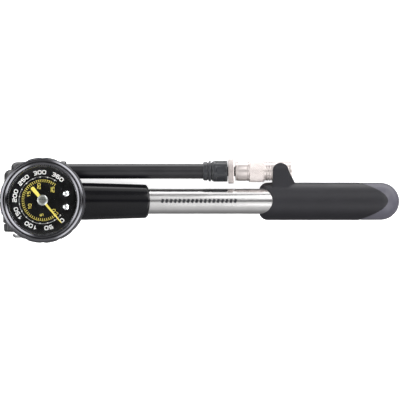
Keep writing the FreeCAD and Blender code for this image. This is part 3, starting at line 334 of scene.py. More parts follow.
class Finish:
    """A material with procedural detail; places are in the object's own metres."""

    def __init__(self, name, colour, roughness, **sockets):
        self.material = bpy.data.materials.new("finish_" + name)
        self.material.use_nodes = True
        self.tree = self.material.node_tree
        self.shader = self.tree.nodes["Principled BSDF"]
        self.shader.inputs["Base Color"].default_value = (*colour, 1.0)
        self.shader.inputs["Roughness"].default_value = roughness
        for socket, value in sockets.items():
            self.shader.inputs[socket.replace("_", " ")].default_value = value
        self.colour = colour
        self.middle = roughness
        self.bump_socket = None

    def node(self, kind, **inputs):
        item = self.tree.nodes.new(kind)
        for name, value in inputs.items():
            feed(self.tree.links, value, item.inputs[name.replace("_", " ")])
        return item

    def grain(self, size, stretch=(1.0, 1.0, 1.0), detail=3.0):
        """Cloudy noise; size is a grain's width in millimetres, times stretch along each axis."""
        where = self.node("ShaderNodeTexCoord").outputs["Object"]
        scale = [1.0 / (size * MM * longer) for longer in stretch]
        mapping = self.node("ShaderNodeMapping", Vector=where, Scale=scale)
        noise = self.node("ShaderNodeTexNoise", Vector=mapping.outputs["Vector"], Scale=1.0, Detail=detail)
        return noise.outputs["Fac"]

    def ranged(self, factor, low, high, start=0.3, end=0.7):
        item = self.node("ShaderNodeMapRange", Value=factor, From_Min=start, From_Max=end)
        item.inputs["To Min"].default_value = low
        item.inputs["To Max"].default_value = high
        return item.outputs["Result"]

    def vary_roughness(self, factor, spread):
        level = self.ranged(factor, self.middle - spread, self.middle + spread)
        self.tree.links.new(level, self.shader.inputs["Roughness"])
        return self

    def vary_colour(self, factor, spread):
        """Lightens and darkens the colour by a share of itself."""
        mix = self.node("ShaderNodeMix")
        mix.data_type = "RGBA"
        self.tree.links.new(self.ranged(factor, 0.0, 1.0), mix.inputs["Factor"])
        mix.inputs[6].default_value = (*[c * (1.0 - spread) for c in self.colour], 1.0)
        mix.inputs[7].default_value = (*[c * (1.0 + spread) for c in self.colour], 1.0)
        self.tree.links.new(mix.outputs[2], self.shader.inputs["Base Color"])
        return self

    def relief(self, factor, depth):
        """Bumps of a depth in millimetres, on top of any given before."""
        bump = self.node("ShaderNodeBump", Height=factor, Strength=1.0, Distance=depth * MM)
        if self.bump_socket:
            self.tree.links.new(self.bump_socket, bump.inputs["Normal"])
        self.bump_socket = bump.outputs["Normal"]
        self.tree.links.new(self.bump_socket, self.shader.inputs["Normal"])
        return self


def moulded(name, colour, roughness, grain_size, depth, **sockets):
    """Moulded plastic or rubber: an even fine grain, with slow changes of gloss and shade."""
    finish = Finish(name, colour, roughness, **sockets)
    slow = finish.grain(14.0)
    finish.vary_colour(slow, 0.12)
    finish.vary_roughness(slow, 0.04)
    finish.relief(finish.grain(grain_size), depth)
    return finish.material


def machined(name, colour, roughness, stretch, depth=0.004, **sockets):
    """Bare metal with the fine lines that turning or drawing leaves."""
    finish = Finish(name, colour, roughness, Metallic=1.0, **sockets)
    lines = finish.grain(0.25, stretch, 2.0)
    finish.vary_colour(finish.grain(6.0), 0.03)
    finish.vary_roughness(lines, 0.05)
    finish.relief(lines, depth)
    return finish.material


ALONG_X = (80.0, 1.0, 1.0)
AROUND_X = (1.0, 60.0, 60.0)
AROUND_Y = (60.0, 1.0, 60.0)
AROUND_Z = (60.0, 60.0, 1.0)


def make_finishes():
    return {
        "barrel_metal": machined("barrel", (0.72, 0.71, 0.71), 0.2, ALONG_X, 0.002),
        "gloss_black": moulded("gloss", (0.004, 0.004, 0.005), 0.14, 1.6, 0.004, IOR=1.33),
        "black_plastic": moulded("plastic", (0.014, 0.014, 0.016), 0.32, 0.35, 0.012),
        "grip_black": moulded("grip", (0.0065, 0.0062, 0.009), 0.48, 0.3, 0.02, IOR=1.38),
        "cap_grey": moulded("cap", (0.058, 0.056, 0.072), 0.44, 0.3, 0.02, IOR=1.4),
        "hose_black": moulded("hose", (0.004, 0.0038, 0.0055), 0.34, 0.5, 0.01, IOR=1.5),
        "bumper_rubber": moulded("bumper", (0.022, 0.022, 0.026), 0.36, 0.3, 0.012),
        "rubber": moulded("rubber", (0.018, 0.018, 0.018), 0.6, 0.25, 0.01),
        "black_metal": moulded("painted", (0.014, 0.015, 0.018), 0.3, 0.4, 0.01),
        "case_metal": machined("case", (0.12, 0.12, 0.13), 0.1, AROUND_Z, 0.001),
        "satin_nickel": machined("nickel", (0.55, 0.505, 0.49), 0.36, AROUND_X),
        "chrome": machined("chrome", (0.82, 0.82, 0.83), 0.07, AROUND_Y, 0.001),
        "steel": machined("steel", (0.33, 0.34, 0.32), 0.3, ALONG_X),
        "brass": machined("brass", (0.72, 0.53, 0.26), 0.3, AROUND_Z),
        "piston_plastic": moulded("piston", (0.72, 0.71, 0.67), 0.4, 0.4, 0.008),
        "washer_white": moulded("white", (0.93, 0.93, 0.91), 0.5, 0.3, 0.004),
        "lens": make_glass(),
        "dial_black": moulded("dial", (0.002, 0.002, 0.0025), 0.7, 0.3, 0.004, IOR=1.2),
        "needle_yellow": moulded("yellow", (1.0, 0.84, 0.15), 0.42, 0.4, 0.003),
        "hub_silver": machined("hub", (0.6, 0.61, 0.6), 0.3, AROUND_Z),
    }


def make_glass():
    finish = Finish("lens", (0.97, 0.98, 0.98), 0.01, IOR=1.46, Transmission_Weight=1.0)
    finish.vary_roughness(finish.grain(9.0), 0.008)
    finish.relief(finish.grain(18.0), 0.002)
    return finish.material


FINISHES = make_finishes()


def dress(item, slot, body, *nodes):
    """Gives a piece its finish and its body, and hides the CAD nodes that it stands for."""
    item.data.materials.clear()
    item.data.materials.append(FINISHES[slot])
    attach(item, body)
    if nodes:
        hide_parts(*nodes)
    return item


def dress_frame():
    """Gives every CAD node its slot's finish, for those that no piece below stands for."""
    for subpart in frame["record"]["subparts"]:
        node = frame["nodes"][subpart["node"]]
        node.data.materials.clear()
        node.data.materials.append(FINISHES[subpart["material_slot"]])


# ---- Barrel, sleeve, rod ----


def make_barrel():
    start, end = Box("barrel").span(X)
    inner = BARREL_RADIUS - BARREL_WALL
    corners = [(start, inner), (end, inner, 0.2), (end, BARREL_RADIUS, 0.4), (start, BARREL_RADIUS)]
    dress(turned("barrel_tube", X, MAIN, corners, 192), "barrel_metal", "pump_body", "barrel")


def make_barrel_print():
    """A plain row of slanted bars, printed along the barrel's upper side."""
    count, pitch, width, height, slant = 18, 2.6, 1.5, 2.3, 0.7
    middle_x, middle_y, ink = -1.4, -0.05, 0.04

    def wrapped(u, v, lift):
        angle = v / BARREL_RADIUS
        reach = BARREL_RADIUS + lift
        return (u, MAIN.y + reach * math.sin(angle), MAIN.z + reach * math.cos(angle))

    shape = Shape()
    for index in range(count):
        centre = middle_x + (index - (count - 1) / 2.0) * pitch
        shares = [part / 8.0 - 0.5 for part in range(9)]
        bar = [(centre + slant * share, middle_y + height * share) for share in shares]
        shape.stroke(bar, width, 0.002, ink, wrapped)
    dress(shape.piece("barrel_print"), "black_metal", "pump_body")


def make_sleeve():
    """The tapered gloss cover; its rear edge is bowed as seen from above."""
    box = Box("barrel_sleeve")
    start, end = box.span(X)
    spigot_end = Box("pump_head").high.x
    spigot_radius, bow, end_radius = 9.25, 22.0, 10.2
    shoulder_x = Box("gauge_bumper").high.x - 1.0
    inner = BARREL_RADIUS + FIT
    corners = [
        (start, spigot_radius),
        (spigot_end + FIT, spigot_radius),
        (spigot_end + FIT, inner),
        (end, inner, 0.3),
        (end, end_radius, 1.9),
        (shoulder_x, box.radius(X), 30.0),
        (start, box.radius(X)),
    ]
    outline = filled(rounded(corners), 3.0, inner - 0.1)
    item = Shape().turn(X, MAIN, outline, 192).piece("sleeve_cover")
    bow_from = end - 8.0
    for vertex in item.data.vertices:
        across = vertex.co.y / MM - MAIN.y
        share = min(max((vertex.co.x / MM - bow_from) / (end - bow_from), 0.0), 1.0)
        vertex.co.x -= (bow - math.sqrt(bow * bow - across * across)) * share * MM
    dress(item, "gloss_black", "pump_body", "barrel_sleeve")


def make_rod_guide():
    box = Box("rod_guide")
    start, end = box.span(X)
    step = Box("barrel").high.x
    bore, pocket = ROD_RADIUS + FIT, ROD_RADIUS + 1.2
    inner = BARREL_RADIUS - BARREL_WALL - 0.02
    corners = [
        (start, bore),
        (step - 2.0, bore),
        (step - 2.0, pocket),
        (step, pocket),
        (step, bore),
        (end, bore, 0.3),
        (end, BARREL_RADIUS, 0.6),
        (step, BARREL_RADIUS, 0.15),
        (step, inner),
        (start, inner),
    ]
    dress(turned("rod_guide_plug", X, MAIN, corners), "black_plastic", "pump_body", "rod_guide")


def make_rod():
    start, end = Box("piston_rod").span(X)
    corners = [(start, 0.0), (end, 0.0), (end, ROD_RADIUS, 0.4), (start, ROD_RADIUS, 0.4)]
    dress(turned("rod_shaft", X, MAIN, corners, 96), "chrome", "handle", "piston_rod")


# ---- Handle ----


GRIP_RADIUS = 11.5
NOSE_LENGTH, NOSE_RADIUS = 5.0, 8.2
TONGUE_TIP, BORE_END = 113.1, 108.0
# heights that clear the handle below and above, for solids that cut right through it
BELOW, ABOVE = -2.0, 26.0


def handle_corners(shrink, start):
    """The handle's section: a round nose, a straight grip and a domed end."""
    radius = GRIP_RADIUS - shrink
    dome_x = 109.7
    rise = GRIP_RADIUS - NOSE_RADIUS
    bend = (NOSE_LENGTH**2 + rise**2) / (2.0 * rise)
    nose_end = complex(start + NOSE_LENGTH, radius)
    nose = arc(nose_end - 1j * bend, complex(start, NOSE_RADIUS - shrink), nose_end, 12)
    dome = arc(complex(dome_x, 0.0), complex(dome_x, radius), complex(dome_x + radius, 0.0), 24)
    points = [complex(BORE_END, 0.0), complex(BORE_END, GRIP_BORE), complex(start, GRIP_BORE)]
    points += nose + dome
    return [(point.real, point.imag) for point in points]


def tongue_outline(tip, front):
    """The grip's stretch of the handle from above: its rear edge is a parabola."""
    focal, half_width, steps = 1.96, 13.0, 48
    points = []
    for step in range(steps + 1):
        across = half_width * (2.0 * step / steps - 1.0)
        points.append((tip - across * across / (4.0 * focal), across))
    return points + [(front, half_width), (front, -half_width)]


def make_grip():
    box = Box("handle_grip")
    start = box.low.x
    blank = Shape().turn(X, MAIN, handle_corners(0.0, start), 192).piece("tool")
    tongue = upright(tongue_outline(TONGUE_TIP, start - 1.0), BELOW, ABOVE)
    half, mouth_end, corner = 7.8, 43.1, 7.7
    mouth = [
        (start - 2.0, -half),
        (mouth_end, -half, corner),
        (mouth_end, half, corner),
        (start - 2.0, half),
    ]
    clip_bore = Box("coupler_nose").radius(X) + CLIP_GAP
    steps = [
        ("INTERSECT", tongue),
        ("UNION", clip_blank()),
        ("DIFFERENCE", upright(mouth, BELOW, ABOVE)),
        ("DIFFERENCE", rod(X, MAIN, GRIP_BORE, start - 1.0, BORE_END, 128)),
        ("DIFFERENCE", rod(X, HOSE, clip_bore, 40.0, 62.0, 128)),
    ]
    item = carved("grip_shell", blank, steps, 0.3, 4)
    dress(item, "grip_black", "handle", "handle_grip")
    # kept out of reflections, so that the barrel shows the studio in the mouth, not its dark walls
    item.visible_glossy = False


def clip_blank():
    """The hook over the connector's nose: a round-topped ear with one sloping side."""
    start, end, foot_x, foot_y, slope = 43.4, 53.1, 57.7, 10.1, 39.0
    radius = (end - start) / 2.0
    middle = complex(start + radius, HOSE.y)
    crest = middle + 1j * radius
    outline = arc(middle, complex(start, HOSE.y), crest, 12) + arc(middle, crest, complex(end, HOSE.y), 12)
    outline = [(point.real, point.imag) for point in outline]
    outline += [(foot_x, foot_y), (foot_x, 4.0), (start, 4.0)]
    reach = Box("coupler_nose").radius(X) + CLIP_GAP + CLIP_WALL
    top = MAIN.z + reach
    foot = [(start - 1.0, 0.0), (foot_x + 1.0, 0.0), (foot_x + 1.0, HOSE.y), (start - 1.0, HOSE.y)]
    run, lift = 12.0, 9.0
    fall = run * math.tan(math.radians(slope))
    wedge = Shape().prism(
        [(end, top), (end + run, top - fall), (end + run, top + lift), (end, top + lift)],
        BELOW,
        HOSE.y + run,
        lambda u, v, height: (u, height, v),
    )
    ear = upright(outline, MAIN.z, top + 1.0)
    arch = rod(X, HOSE, reach, start - 1.0, foot_x + 1.0, 128)
    section = combined(arch, "UNION", upright(foot, MAIN.z, top))
    return combined(combined(ear, "INTERSECT", section), "DIFFERENCE", wedge.piece("tool"))


def make_end_cap():
    # the cap runs on a little way under the grip's edge, so that no gap shows between them
    overlap = 3.0
    start = Box("handle_end_cap").low.x - overlap
    blank = Shape().turn(X, MAIN, handle_corners(0.1, start), 192).piece("tool")
    gap = upright(tongue_outline(TONGUE_TIP - overlap, start - 2.0), BELOW, ABOVE)
    core_radius, core_end = 5.0, 113.4
    pocket = rod(X, MAIN, core_radius, BORE_END - 1.0, core_end)
    item = carved("end_cap_shell", blank, [("DIFFERENCE", gap), ("DIFFERENCE", pocket)], 0.3, 3)
    dress(item, "cap_grey", "handle", "handle_end_cap")


# ---- Head, bleed valve and hose swivel ----


def make_head():
    """The cross tube, the gauge's pedestal and the barrel's neck, with the bores inside them."""
    box = Box("pump_head")
    cross_radius, neck_radius, spigot_radius = 11.4, 10.9, 9.2
    air_radius, post_radius, plug_radius, plug_end = 4.5, 4.0, 7.55, -8.1
    low_y, high_y = box.span(Y)
    corners = [(low_y, 0.0), (low_y, cross_radius, 0.7), (high_y, cross_radius, 0.7), (high_y, 0.0)]
    blank = turned("tool", Y, CROSS, corners, 144)
    neck_end = Box("barrel_sleeve").low.x
    top = box.high.z
    pedestal_base = [(0.0, 0.0), (0.0, cross_radius, 1.0), (top, cross_radius, 0.4), (top, 0.0)]
    steps = [
        ("UNION", turned("tool", Z, GAUGE, pedestal_base, 144)),
        ("UNION", rod(X, MAIN, neck_radius, CROSS.x, neck_end, 144)),
        ("UNION", rod(X, MAIN, spigot_radius, neck_end - 1.0, box.high.x, 144)),
        ("DIFFERENCE", rod(X, MAIN, BARREL_RADIUS + FIT, Box("barrel").low.x, box.high.x + 1.0)),
        ("DIFFERENCE", rod(X, MAIN, air_radius, -98.0, -83.0)),
        ("DIFFERENCE", rod(Y, CROSS, post_radius, low_y - 1.0, high_y + 1.0)),
        ("DIFFERENCE", rod(Y, CROSS, plug_radius, low_y - 1.0, plug_end)),
        ("DIFFERENCE", rod(Z, GAUGE, post_radius, top - 6.0, top + 1.0)),
    ]
    dress(carved("head_casting", blank, steps, 0.35, 4), "black_plastic", "pump_body", "pump_head")


def make_bleed_cap():
    low, high, radius = Box("bleed_cap").turning(Y)
    recess, stem_bore, plug = low + 2.5, 2.35, 7.5
    head_low = Box("pump_head").low.y
    rim = Box("bleed_button").radius(Y) + 0.35
    shoulder = head_low - 0.6
    corners = [
        (recess, stem_bore),
        (recess, rim, 0.3),
        (low, rim, 0.5),
        (low, radius, 1.3),
        (shoulder, radius, 0.5),
        (shoulder, radius - 0.7, 0.2),
        (head_low, radius - 0.7),
        (head_low, plug),
        (high, plug, 0.4),
        (high, stem_bore),
    ]
    flute_count, flute_depth = 24, 0.35

    def fluted(along, angle, reach):
        if reach < radius - 0.4 or along < low + 0.7:
            return reach
        return reach - flute_depth * max(0.0, 1.0 - 2.2 * wave(angle / TURN * flute_count))

    outline = filled(rounded(corners), 0.6, radius - 0.5)
    item = Shape().turn(Y, CROSS, outline, flute_count * 10, fluted).piece("bleed_cap_shell")
    dress(item, "black_plastic", "pump_body", "bleed_cap")


def make_bleed_button():
    low, high, radius = Box("bleed_button").turning(Y)
    stem = 2.0
    foot = high - 1.5
    corners = [(low, 0.0), (low, radius, 3.0), (foot, radius), (foot, stem), (high, stem), (high, 0.0)]
    dress(turned("bleed_push_button", Y, CROSS, corners, 128), "chrome", "bleed_button", "bleed_button")


def make_swivel():
    box = Box("swivel_housing")
    low, high = box.span(Y)
    radius = (box.high.z - box.low.z) / 2.0
    # the boss stands out past the hub's rear face, so the hub ends at the post's collar
    hub_high = Box("swivel_post").high.y - 1.9
    corners = [(low, 0.0), (low, radius, 1.6), (hub_high, radius, 3.6), (hub_high, 0.0)]
    blank = turned("tool", Y, CROSS, corners, 144)
    boss_end = box.high.x
    boss_radius, bore = 5.6, 4.45
    cap_room = Box("swivel_cap").radius(Y) + 0.3
    steps = [
        ("UNION", rod(X, HOSE, boss_radius, CROSS.x, boss_end, 128)),
        ("DIFFERENCE", rod(Y, CROSS, bore, low - 1.0, hub_high + 6.0)),
        ("DIFFERENCE", rod(Y, CROSS, cap_room, hub_high, high + 3.0, 128)),
        ("DIFFERENCE", rod(X, HOSE, HOSE_BORE, boss_end - 3.0, boss_end + 1.0)),
    ]
    dress(carved("swivel_block", blank, steps, 0.3, 4), "black_plastic", "hose_assembly", "swivel_housing")


def make_swivel_cap():
    start, end, radius = Box("swivel_cap").turning(Y)
    flange, bore = Box("swivel_post").high.y + FIT, 5.95
    hollow = [(start, bore), (flange, bore), (flange, 0.0)]
    corners = hollow + [(end, 0.0), (end, radius, 3.4), (start, radius)]
    dress(turned("swivel_cap_shell", Y, CROSS, corners, 128), "black_plastic", "pump_body", "swivel_cap")


# ---- Hose and connector ----


def make_hose():
    start, end = Box("hose").span(X)
    corners = [(start, HOSE_BORE), (end, HOSE_BORE), (end, HOSE_RADIUS, 0.3), (start, HOSE_RADIUS, 0.3)]
    outline = filled(rounded(corners), 6.0, HOSE_BORE + 0.1)
    dress(Shape().turn(X, HOSE, outline, 144).piece("hose_tube"), "hose_black", "hose_assembly", "hose")


def make_ferrule():
    start, end, radius = Box("hose_ferrule").turning(X)
    inner, waist = HOSE_RADIUS + 0.02, radius - 0.45
    corners = [
        (start, HOSE_BORE + 0.02),
        (start + 2.0, HOSE_BORE + 0.02),
        (start + 2.0, inner),
        (end, inner, 0.2),
        (end, radius, 0.7),
        (end - 3.0, radius, 0.25),
        (end - 3.4, waist, 0.2),
        (end - 5.0, waist, 0.2),
        (end - 5.4, radius, 0.25),
        (start, radius, 0.3),
    ]
    dress(turned("ferrule_ring", X, HOSE, corners, 144), "black_metal", "hose_assembly", "hose_ferrule")


def make_crimp():
    start, end, ridge = Box("crimp_ring").turning(X)
    inner, ring, groove = HOSE_RADIUS + 0.02, ridge - 0.55, ridge - 1.0
    corners = [
        (start, inner, 0.1),
        (end, inner),
        (end, ridge - 0.2, 0.2),
        (end - 0.5, ridge - 0.15, 0.15),
        (end - 0.75, groove, 0.15),
        (end - 1.15, groove, 0.15),
        (end - 1.35, ridge, 0.3),
        (start + 3.4, ridge, 0.4),
        (start + 3.1, groove, 0.15),
        (start + 2.7, groove, 0.15),
        (start + 2.5, ring, 0.3),
        (start, ring, 0.6),
    ]
    dress(turned("crimp_sleeve", X, HOSE, corners, 144), "black_metal", "hose_assembly", "crimp_ring")


def make_collar():
    """The grip collar, with six flats between its round ends."""
    low, high, radius = Box("connector_collar").turning(X)
    flat_low, flat_high, flat = low + 2.0, high - 1.4, radius - 0.5
    corners = [
        (low, 2.25),
        (low + 1.8, 2.25),
        (low + 1.8, 3.0),
        (high, 3.0),
        (high, radius, 0.6),
        (flat_high + 0.2, radius),
        (flat_high - 0.2, radius),
        (flat_low + 0.2, radius),
        (flat_low - 0.2, radius),
        (low, radius, 0.5),
    ]

    def planed(along, angle, reach):
        inside = flat_low < along < flat_high and reach > flat
        if not inside:
            return reach
        sixth = TURN / 6.0
        away = (angle - math.radians(25.0) + sixth / 2.0) % sixth - sixth / 2.0
        return min(reach, flat / math.cos(away))

    outline = rounded(corners)
    item = Shape().turn(X, HOSE, outline, 240, planed).piece("collar_grip", 25.0)
    dress(item, "black_metal", "hose_assembly", "connector_collar")


def make_thumb_wheel():
    low, high, radius = Box("thumb_wheel").turning(X)
    teeth, depth = 56, 0.3
    corners = [(low, 3.03), (high, 3.03, 0.2), (high, radius, 0.45), (low, radius, 0.45)]

    def serrated(along, angle, reach):
        if reach < radius - 0.5:
            return reach
        return reach - depth * max(0.0, 1.0 - 1.7 * wave(angle / TURN * teeth))

    outline = filled(rounded(corners), 0.5, radius - 0.3)
    item = Shape().turn(X, HOSE, outline, teeth * 8, serrated).piece("thumb_ring", 40.0)
    dress(item, "satin_nickel", "thumb_wheel", "thumb_wheel")


def make_connector_body():
    start, end, radius = Box("connector_body").turning(X)
    stem, tail, bore = 3.0, 4.55, 1.3
    step = Box("coupler_sleeve").low.x - 0.1
    corners = [
        (start, stem),
        (start + 5.0, stem),
        (start + 5.0, bore),
        (end, bore),
        (end, tail),
        (step, tail),
        (step, radius, 0.25),
        (step - 1.1, radius, 0.1),
        (step - 1.25, radius - 0.18, 0.05),
        (step - 1.5, radius - 0.18, 0.05),
        (step - 1.65, radius, 0.1),
        (start + 1.5, radius, 0.1),
        (start + 1.2, radius - 0.25, 0.1),
        (start, radius - 0.25, 0.3),
    ]
    dress(turned("connector_barrel", X, HOSE, corners), "satin_nickel", "hose_assembly", "connector_body")


def make_coupler():
    low, high, radius = Box("coupler_sleeve").turning(X)
    tail, pitch, depth = 4.6, 1.05, 0.32
    count = round(TURN * radius / pitch)
    knurl_low, knurl_high = low + 0.55, high - 0.55
    corners = [
        (low, tail),
        (high - 2.0, tail),
        (high - 2.0, 5.0),
        (high, 5.0),
        (high, radius, 0.4),
        (low, radius, 0.4),
    ]

    def knurled(along, angle, reach):
        if reach < radius - 0.01 or not knurl_low <= along <= knurl_high:
            return reach
        around, across = angle / TURN * count, (along - low) / pitch
        ridge = min(wave(around + across), wave(around - across))
        return reach - depth * (1.0 - min(1.0, 1.35 * ridge))

    outline = filled(rounded(corners), 0.09, radius - 0.05)
    item = Shape().turn(X, HOSE, outline, count * 8, knurled).piece("coupler_grip", 60.0)
    dress(item, "satin_nickel", "coupler", "coupler_sleeve")


def make_nose():
    """The plain front of the coupler: three grooves, a fine line near its tip and the socket."""
    start, end, radius = Box("coupler_nose").turning(X)
    grip_end = Box("coupler_sleeve").high.x
    socket, seal_seat, floor = 3.65, 3.35, end - 8.4
    corners = [
        (start, 1.3),
        (floor - 1.5, 1.3),
        (floor - 1.5, seal_seat),
        (floor, seal_seat),
        (floor, socket),
        (end, socket, 0.35),
        (end, radius, 0.35),
        (end - 1.6, radius, 0.1),
        (end - 1.75, radius - 0.15, 0.05),
        (end - 2.0, radius - 0.15, 0.05),
        (end - 2.15, radius, 0.1),
    ]
    for index in (2, 1, 0):
        centre = grip_end + 1.2 + 1.5 * index
        corners += [
            (centre + 0.42, radius, 0.12),
            (centre + 0.22, radius - 0.35, 0.08),
            (centre - 0.22, radius - 0.35, 0.08),
            (centre - 0.42, radius, 0.12),
        ]
    corners += [(grip_end + 0.02, radius), (grip_end + 0.02, 4.97), (start, 4.97)]
    outline = threaded(rounded(corners), floor + 0.6, end - 0.6, socket)
    item = Shape().turn(X, HOSE, outline, 160).piece("coupler_tip")
    dress(item, "satin_nickel", "coupler", "coupler_nose")


def threaded(outline, low, high, radius):
    """The outline with fine thread rings cut into its bore of one radius."""
    pitch, depth = 0.8, 0.28
    points = []
    for index, point in enumerate(outline):
        last = outline[index - 1]
        on_bore = abs(point[1] - radius) < 0.01 and abs(last[1] - radius) < 0.01
        if on_bore and point[0] - last[0] > 3.0:
            for ring in range(int((high - low) / pitch)):
                foot = low + pitch * ring
                points += [(foot, radius), (foot + pitch / 2.0, radius + depth)]
            points.append((low + pitch * int((high - low) / pitch), radius))
        points.append(point)
    return points


# ---- Gauge ----


def make_case():
    low, high, radius = Box("gauge_case").turning(Z)
    wall, floor, port = 1.5, 1.2, 4.02
    corners = [
        (low, port),
        (low, radius, 0.5),
        (high, radius),
        (high, radius - wall, 0.1),
        (low + floor, radius - wall),
        (low + floor, port),
    ]
    dress(turned("gauge_shell", Z, GAUGE, corners, 192), "case_metal", "pump_body", "gauge_case")


def make_bumper():
    """The rubber ring round the gauge, with shallow hollows for grip."""
    low, high, radius = Box("gauge_bumper").turning(Z)
    case = Box("gauge_case").radius(Z) + FIT
    bezel, step = 24.45, 28.9
    corners = [
        (low, case, 0.2),
        (low, radius, 1.8),
        (high, radius, 1.0),
        (high, bezel, 0.2),
        (step, bezel),
        (step, case),
    ]
    count, hollow, depth = 16, 5.0, 0.35
    reach_out = radius + hollow - depth

    def scalloped(along, angle, reach):
        """Pulls in what lies inside one of the hollows, as a round cutter would."""
        part = TURN / count
        away = (angle + part / 2.0) % part - part / 2.0
        inside = hollow * hollow - (reach_out * math.sin(away)) ** 2
        if inside <= 0.0:
            return reach
        edge = reach_out * math.cos(away) - math.sqrt(inside)
        return min(reach, edge)

    outline = filled(rounded(corners), 1.0, radius - 3.0)
    item = Shape().turn(Z, GAUGE, outline, count * 24, scalloped).piece("bumper_ring")
    dress(item, "bumper_rubber", "pump_body", "gauge_bumper")


def make_bezel():
    """The glossy ring with two raised beads that holds the lens down."""
    low, high, lip = Box("bezel_ring").turning(Z)
    case = Box("gauge_case").radius(Z) + FIT
    lens_top = Box("gauge_lens").high.z + 0.02
    bumper_top = Box("gauge_bumper").high.z + FIT
    inner, outer = 21.2, 24.4
    corners = [
        (low, case),
        (lens_top, case),
        (lens_top, inner, 0.15),
        (high - 0.7, inner, 0.2),
        (high - 0.1, inner + 1.3, 0.3),
        (high - 1.2, inner + 1.6, 0.3),
        (high - 1.2, inner + 1.9, 0.3),
        (high, inner + 2.2, 0.3),
        (high - 0.5, lip - 0.1, 0.4),
        (bumper_top, lip, 0.3),
        (bumper_top, outer),
        (low, outer),
    ]
    dress(turned("bezel_cover", Z, GAUGE, corners, 256, 40.0), "case_metal", "pump_body", "bezel_ring")


def make_lens():
    """A clear disc, flat in the middle and bent down towards its rim."""
    low, high, radius = Box("gauge_lens").turning(Z)
    flat_radius, drop, steps = 15.5, 0.42, 20
    dome = []
    for step in range(steps + 1):
        share = step / steps
        reach = flat_radius + (radius - flat_radius) * share
        dome.append((high - drop * share * share, reach))
    under = [(low, 0.0), (low, radius)]
    outline = under + dome[::-1] + [(high, 0.0)]
    dress(Shape().turn(Z, GAUGE, outline, 192).piece("lens_disc"), "lens", "pump_body", "gauge_lens")


DIAL_TOP = Box("gauge_dial").high.z
INK = 0.03
ZERO_ANGLE = -40.0
DOT_STEP = 18.65


def on_dial(angle, radius):
    """Puts marks beside a place on the dial, their tops outwards, bent round with it."""

    def place(u, v, lift):
        turn = math.radians(angle) - u / radius
        reach = radius + v
        height = DIAL_TOP + lift
        return (GAUGE.x + reach * math.cos(turn), GAUGE.y + reach * math.sin(turn), height)

    return place


# Each figure is drawn with lines in a square of side 1, from its lower left corner.
BEND = 0.28
FIGURES = {
    "0": [([(0, 0, BEND), (1, 0, BEND), (1, 1, BEND), (0, 1, BEND)], True)],
    "1": [([(0.1, 0.72), (0.55, 1.0), (0.55, 0)], False)],
    "2": [([(0, 1), (1, 1, BEND), (1, 0.5, BEND), (0, 0.5, BEND), (0, 0), (1, 0)], False)],
    "3": [([(0, 1), (1, 1, BEND), (1, 0, BEND), (0, 0)], False), ([(0.25, 0.5), (1, 0.5)], False)],
    "5": [([(1, 1), (0, 1), (0, 0.55), (1, 0.55, BEND), (1, 0, BEND), (0, 0)], False)],
    "6": [([(1, 1), (0, 1, BEND), (0, 0, BEND), (1, 0, BEND), (1, 0.55, BEND), (0, 0.55)], False)],
}


def flat_at(along, across):
    """Puts marks beside a place on the dial, their tops towards -X, reading towards +Y."""

    def place(u, v, lift):
        return (GAUGE.x + along - v, GAUGE.y + across + u, DIAL_TOP + lift)

    return place


def add_number(shape, text, place, height, width, gap, line):
    """Draws a number centred where place puts its origin."""
    total = len(text) * width + (len(text) - 1) * gap
    for index, figure in enumerate(text):
        left = -total / 2.0 + index * (width + gap)
        for corners, closed in FIGURES[figure]:
            scaled = []
            for u, v, *bend in corners:
                scaled.append((left + u * width, (v - 0.5) * height, *[size * width for size in bend]))
            shape.stroke(rounded(scaled, closed), line, 0.0, INK, place, closed)


def add_arc(shape, radius, start, end, line):
    """A thin printed arc, from one angle of the dial to another."""
    steps = 120
    points = []
    for step in range(steps + 1):
        angle = math.radians(start + (end - start) * step / steps)
        points.append((radius * math.cos(angle), radius * math.sin(angle)))
    shape.stroke(points, line, 0.0, INK, lambda u, v, lift: (GAUGE.x + u, GAUGE.y + v, DIAL_TOP + lift))


def make_dial():
    low, high, radius = Box("gauge_dial").turning(Z)
    corners = [(low, 1.0), (high, 1.0), (high, radius, 0.1), (low, radius)]
    dress(turned("dial_plate", Z, GAUGE, corners, 160), "dial_black", "pump_body", "gauge_dial")
    rim, foot = 20.85, 19.7
    lens_low = Box("gauge_lens").low.z - 0.05
    slope = [(high, foot, 0.1), (lens_low, rim - 0.25, 0.1), (lens_low, rim), (high, rim)]
    dress(turned("dial_surround", Z, GAUGE, slope, 160), "case_metal", "pump_body")


def make_white_print():
    """Pressure figures round the edge, a dot at every half step and a fine circle."""
    shape = Shape()
    figure_radius, dot_ring, dot_count, dot_radius, sides = 16.8, 14.0, 15, 0.38, 16
    labels = [(str(50 * index), 2.0 * index) for index in range(7)] + [("360", 14.1)]
    for text, dots in labels:
        angle = ZERO_ANGLE - 6.0 if text == "0" else ZERO_ANGLE - DOT_STEP * dots
        add_number(shape, text, on_dial(angle, figure_radius), 1.95, 1.9, 0.8, 0.55)
    turns = [TURN * k / sides for k in range(sides)]
    dot = [(dot_radius * math.cos(turn), dot_radius * math.sin(turn)) for turn in turns]
    for index in range(dot_count):
        shape.prism(dot, 0.0, INK * 2.0, on_dial(ZERO_ANGLE - DOT_STEP * index, dot_ring))
    dress(shape.piece("dial_white_print"), "washer_white", "pump_body")
    circle = Shape()
    add_arc(circle, 14.1, ZERO_ANGLE - 1.0, ZERO_ANGLE - DOT_STEP * 14.3, 0.28)
    dress(circle.piece("dial_fine_circle"), "hub_silver", "pump_body")


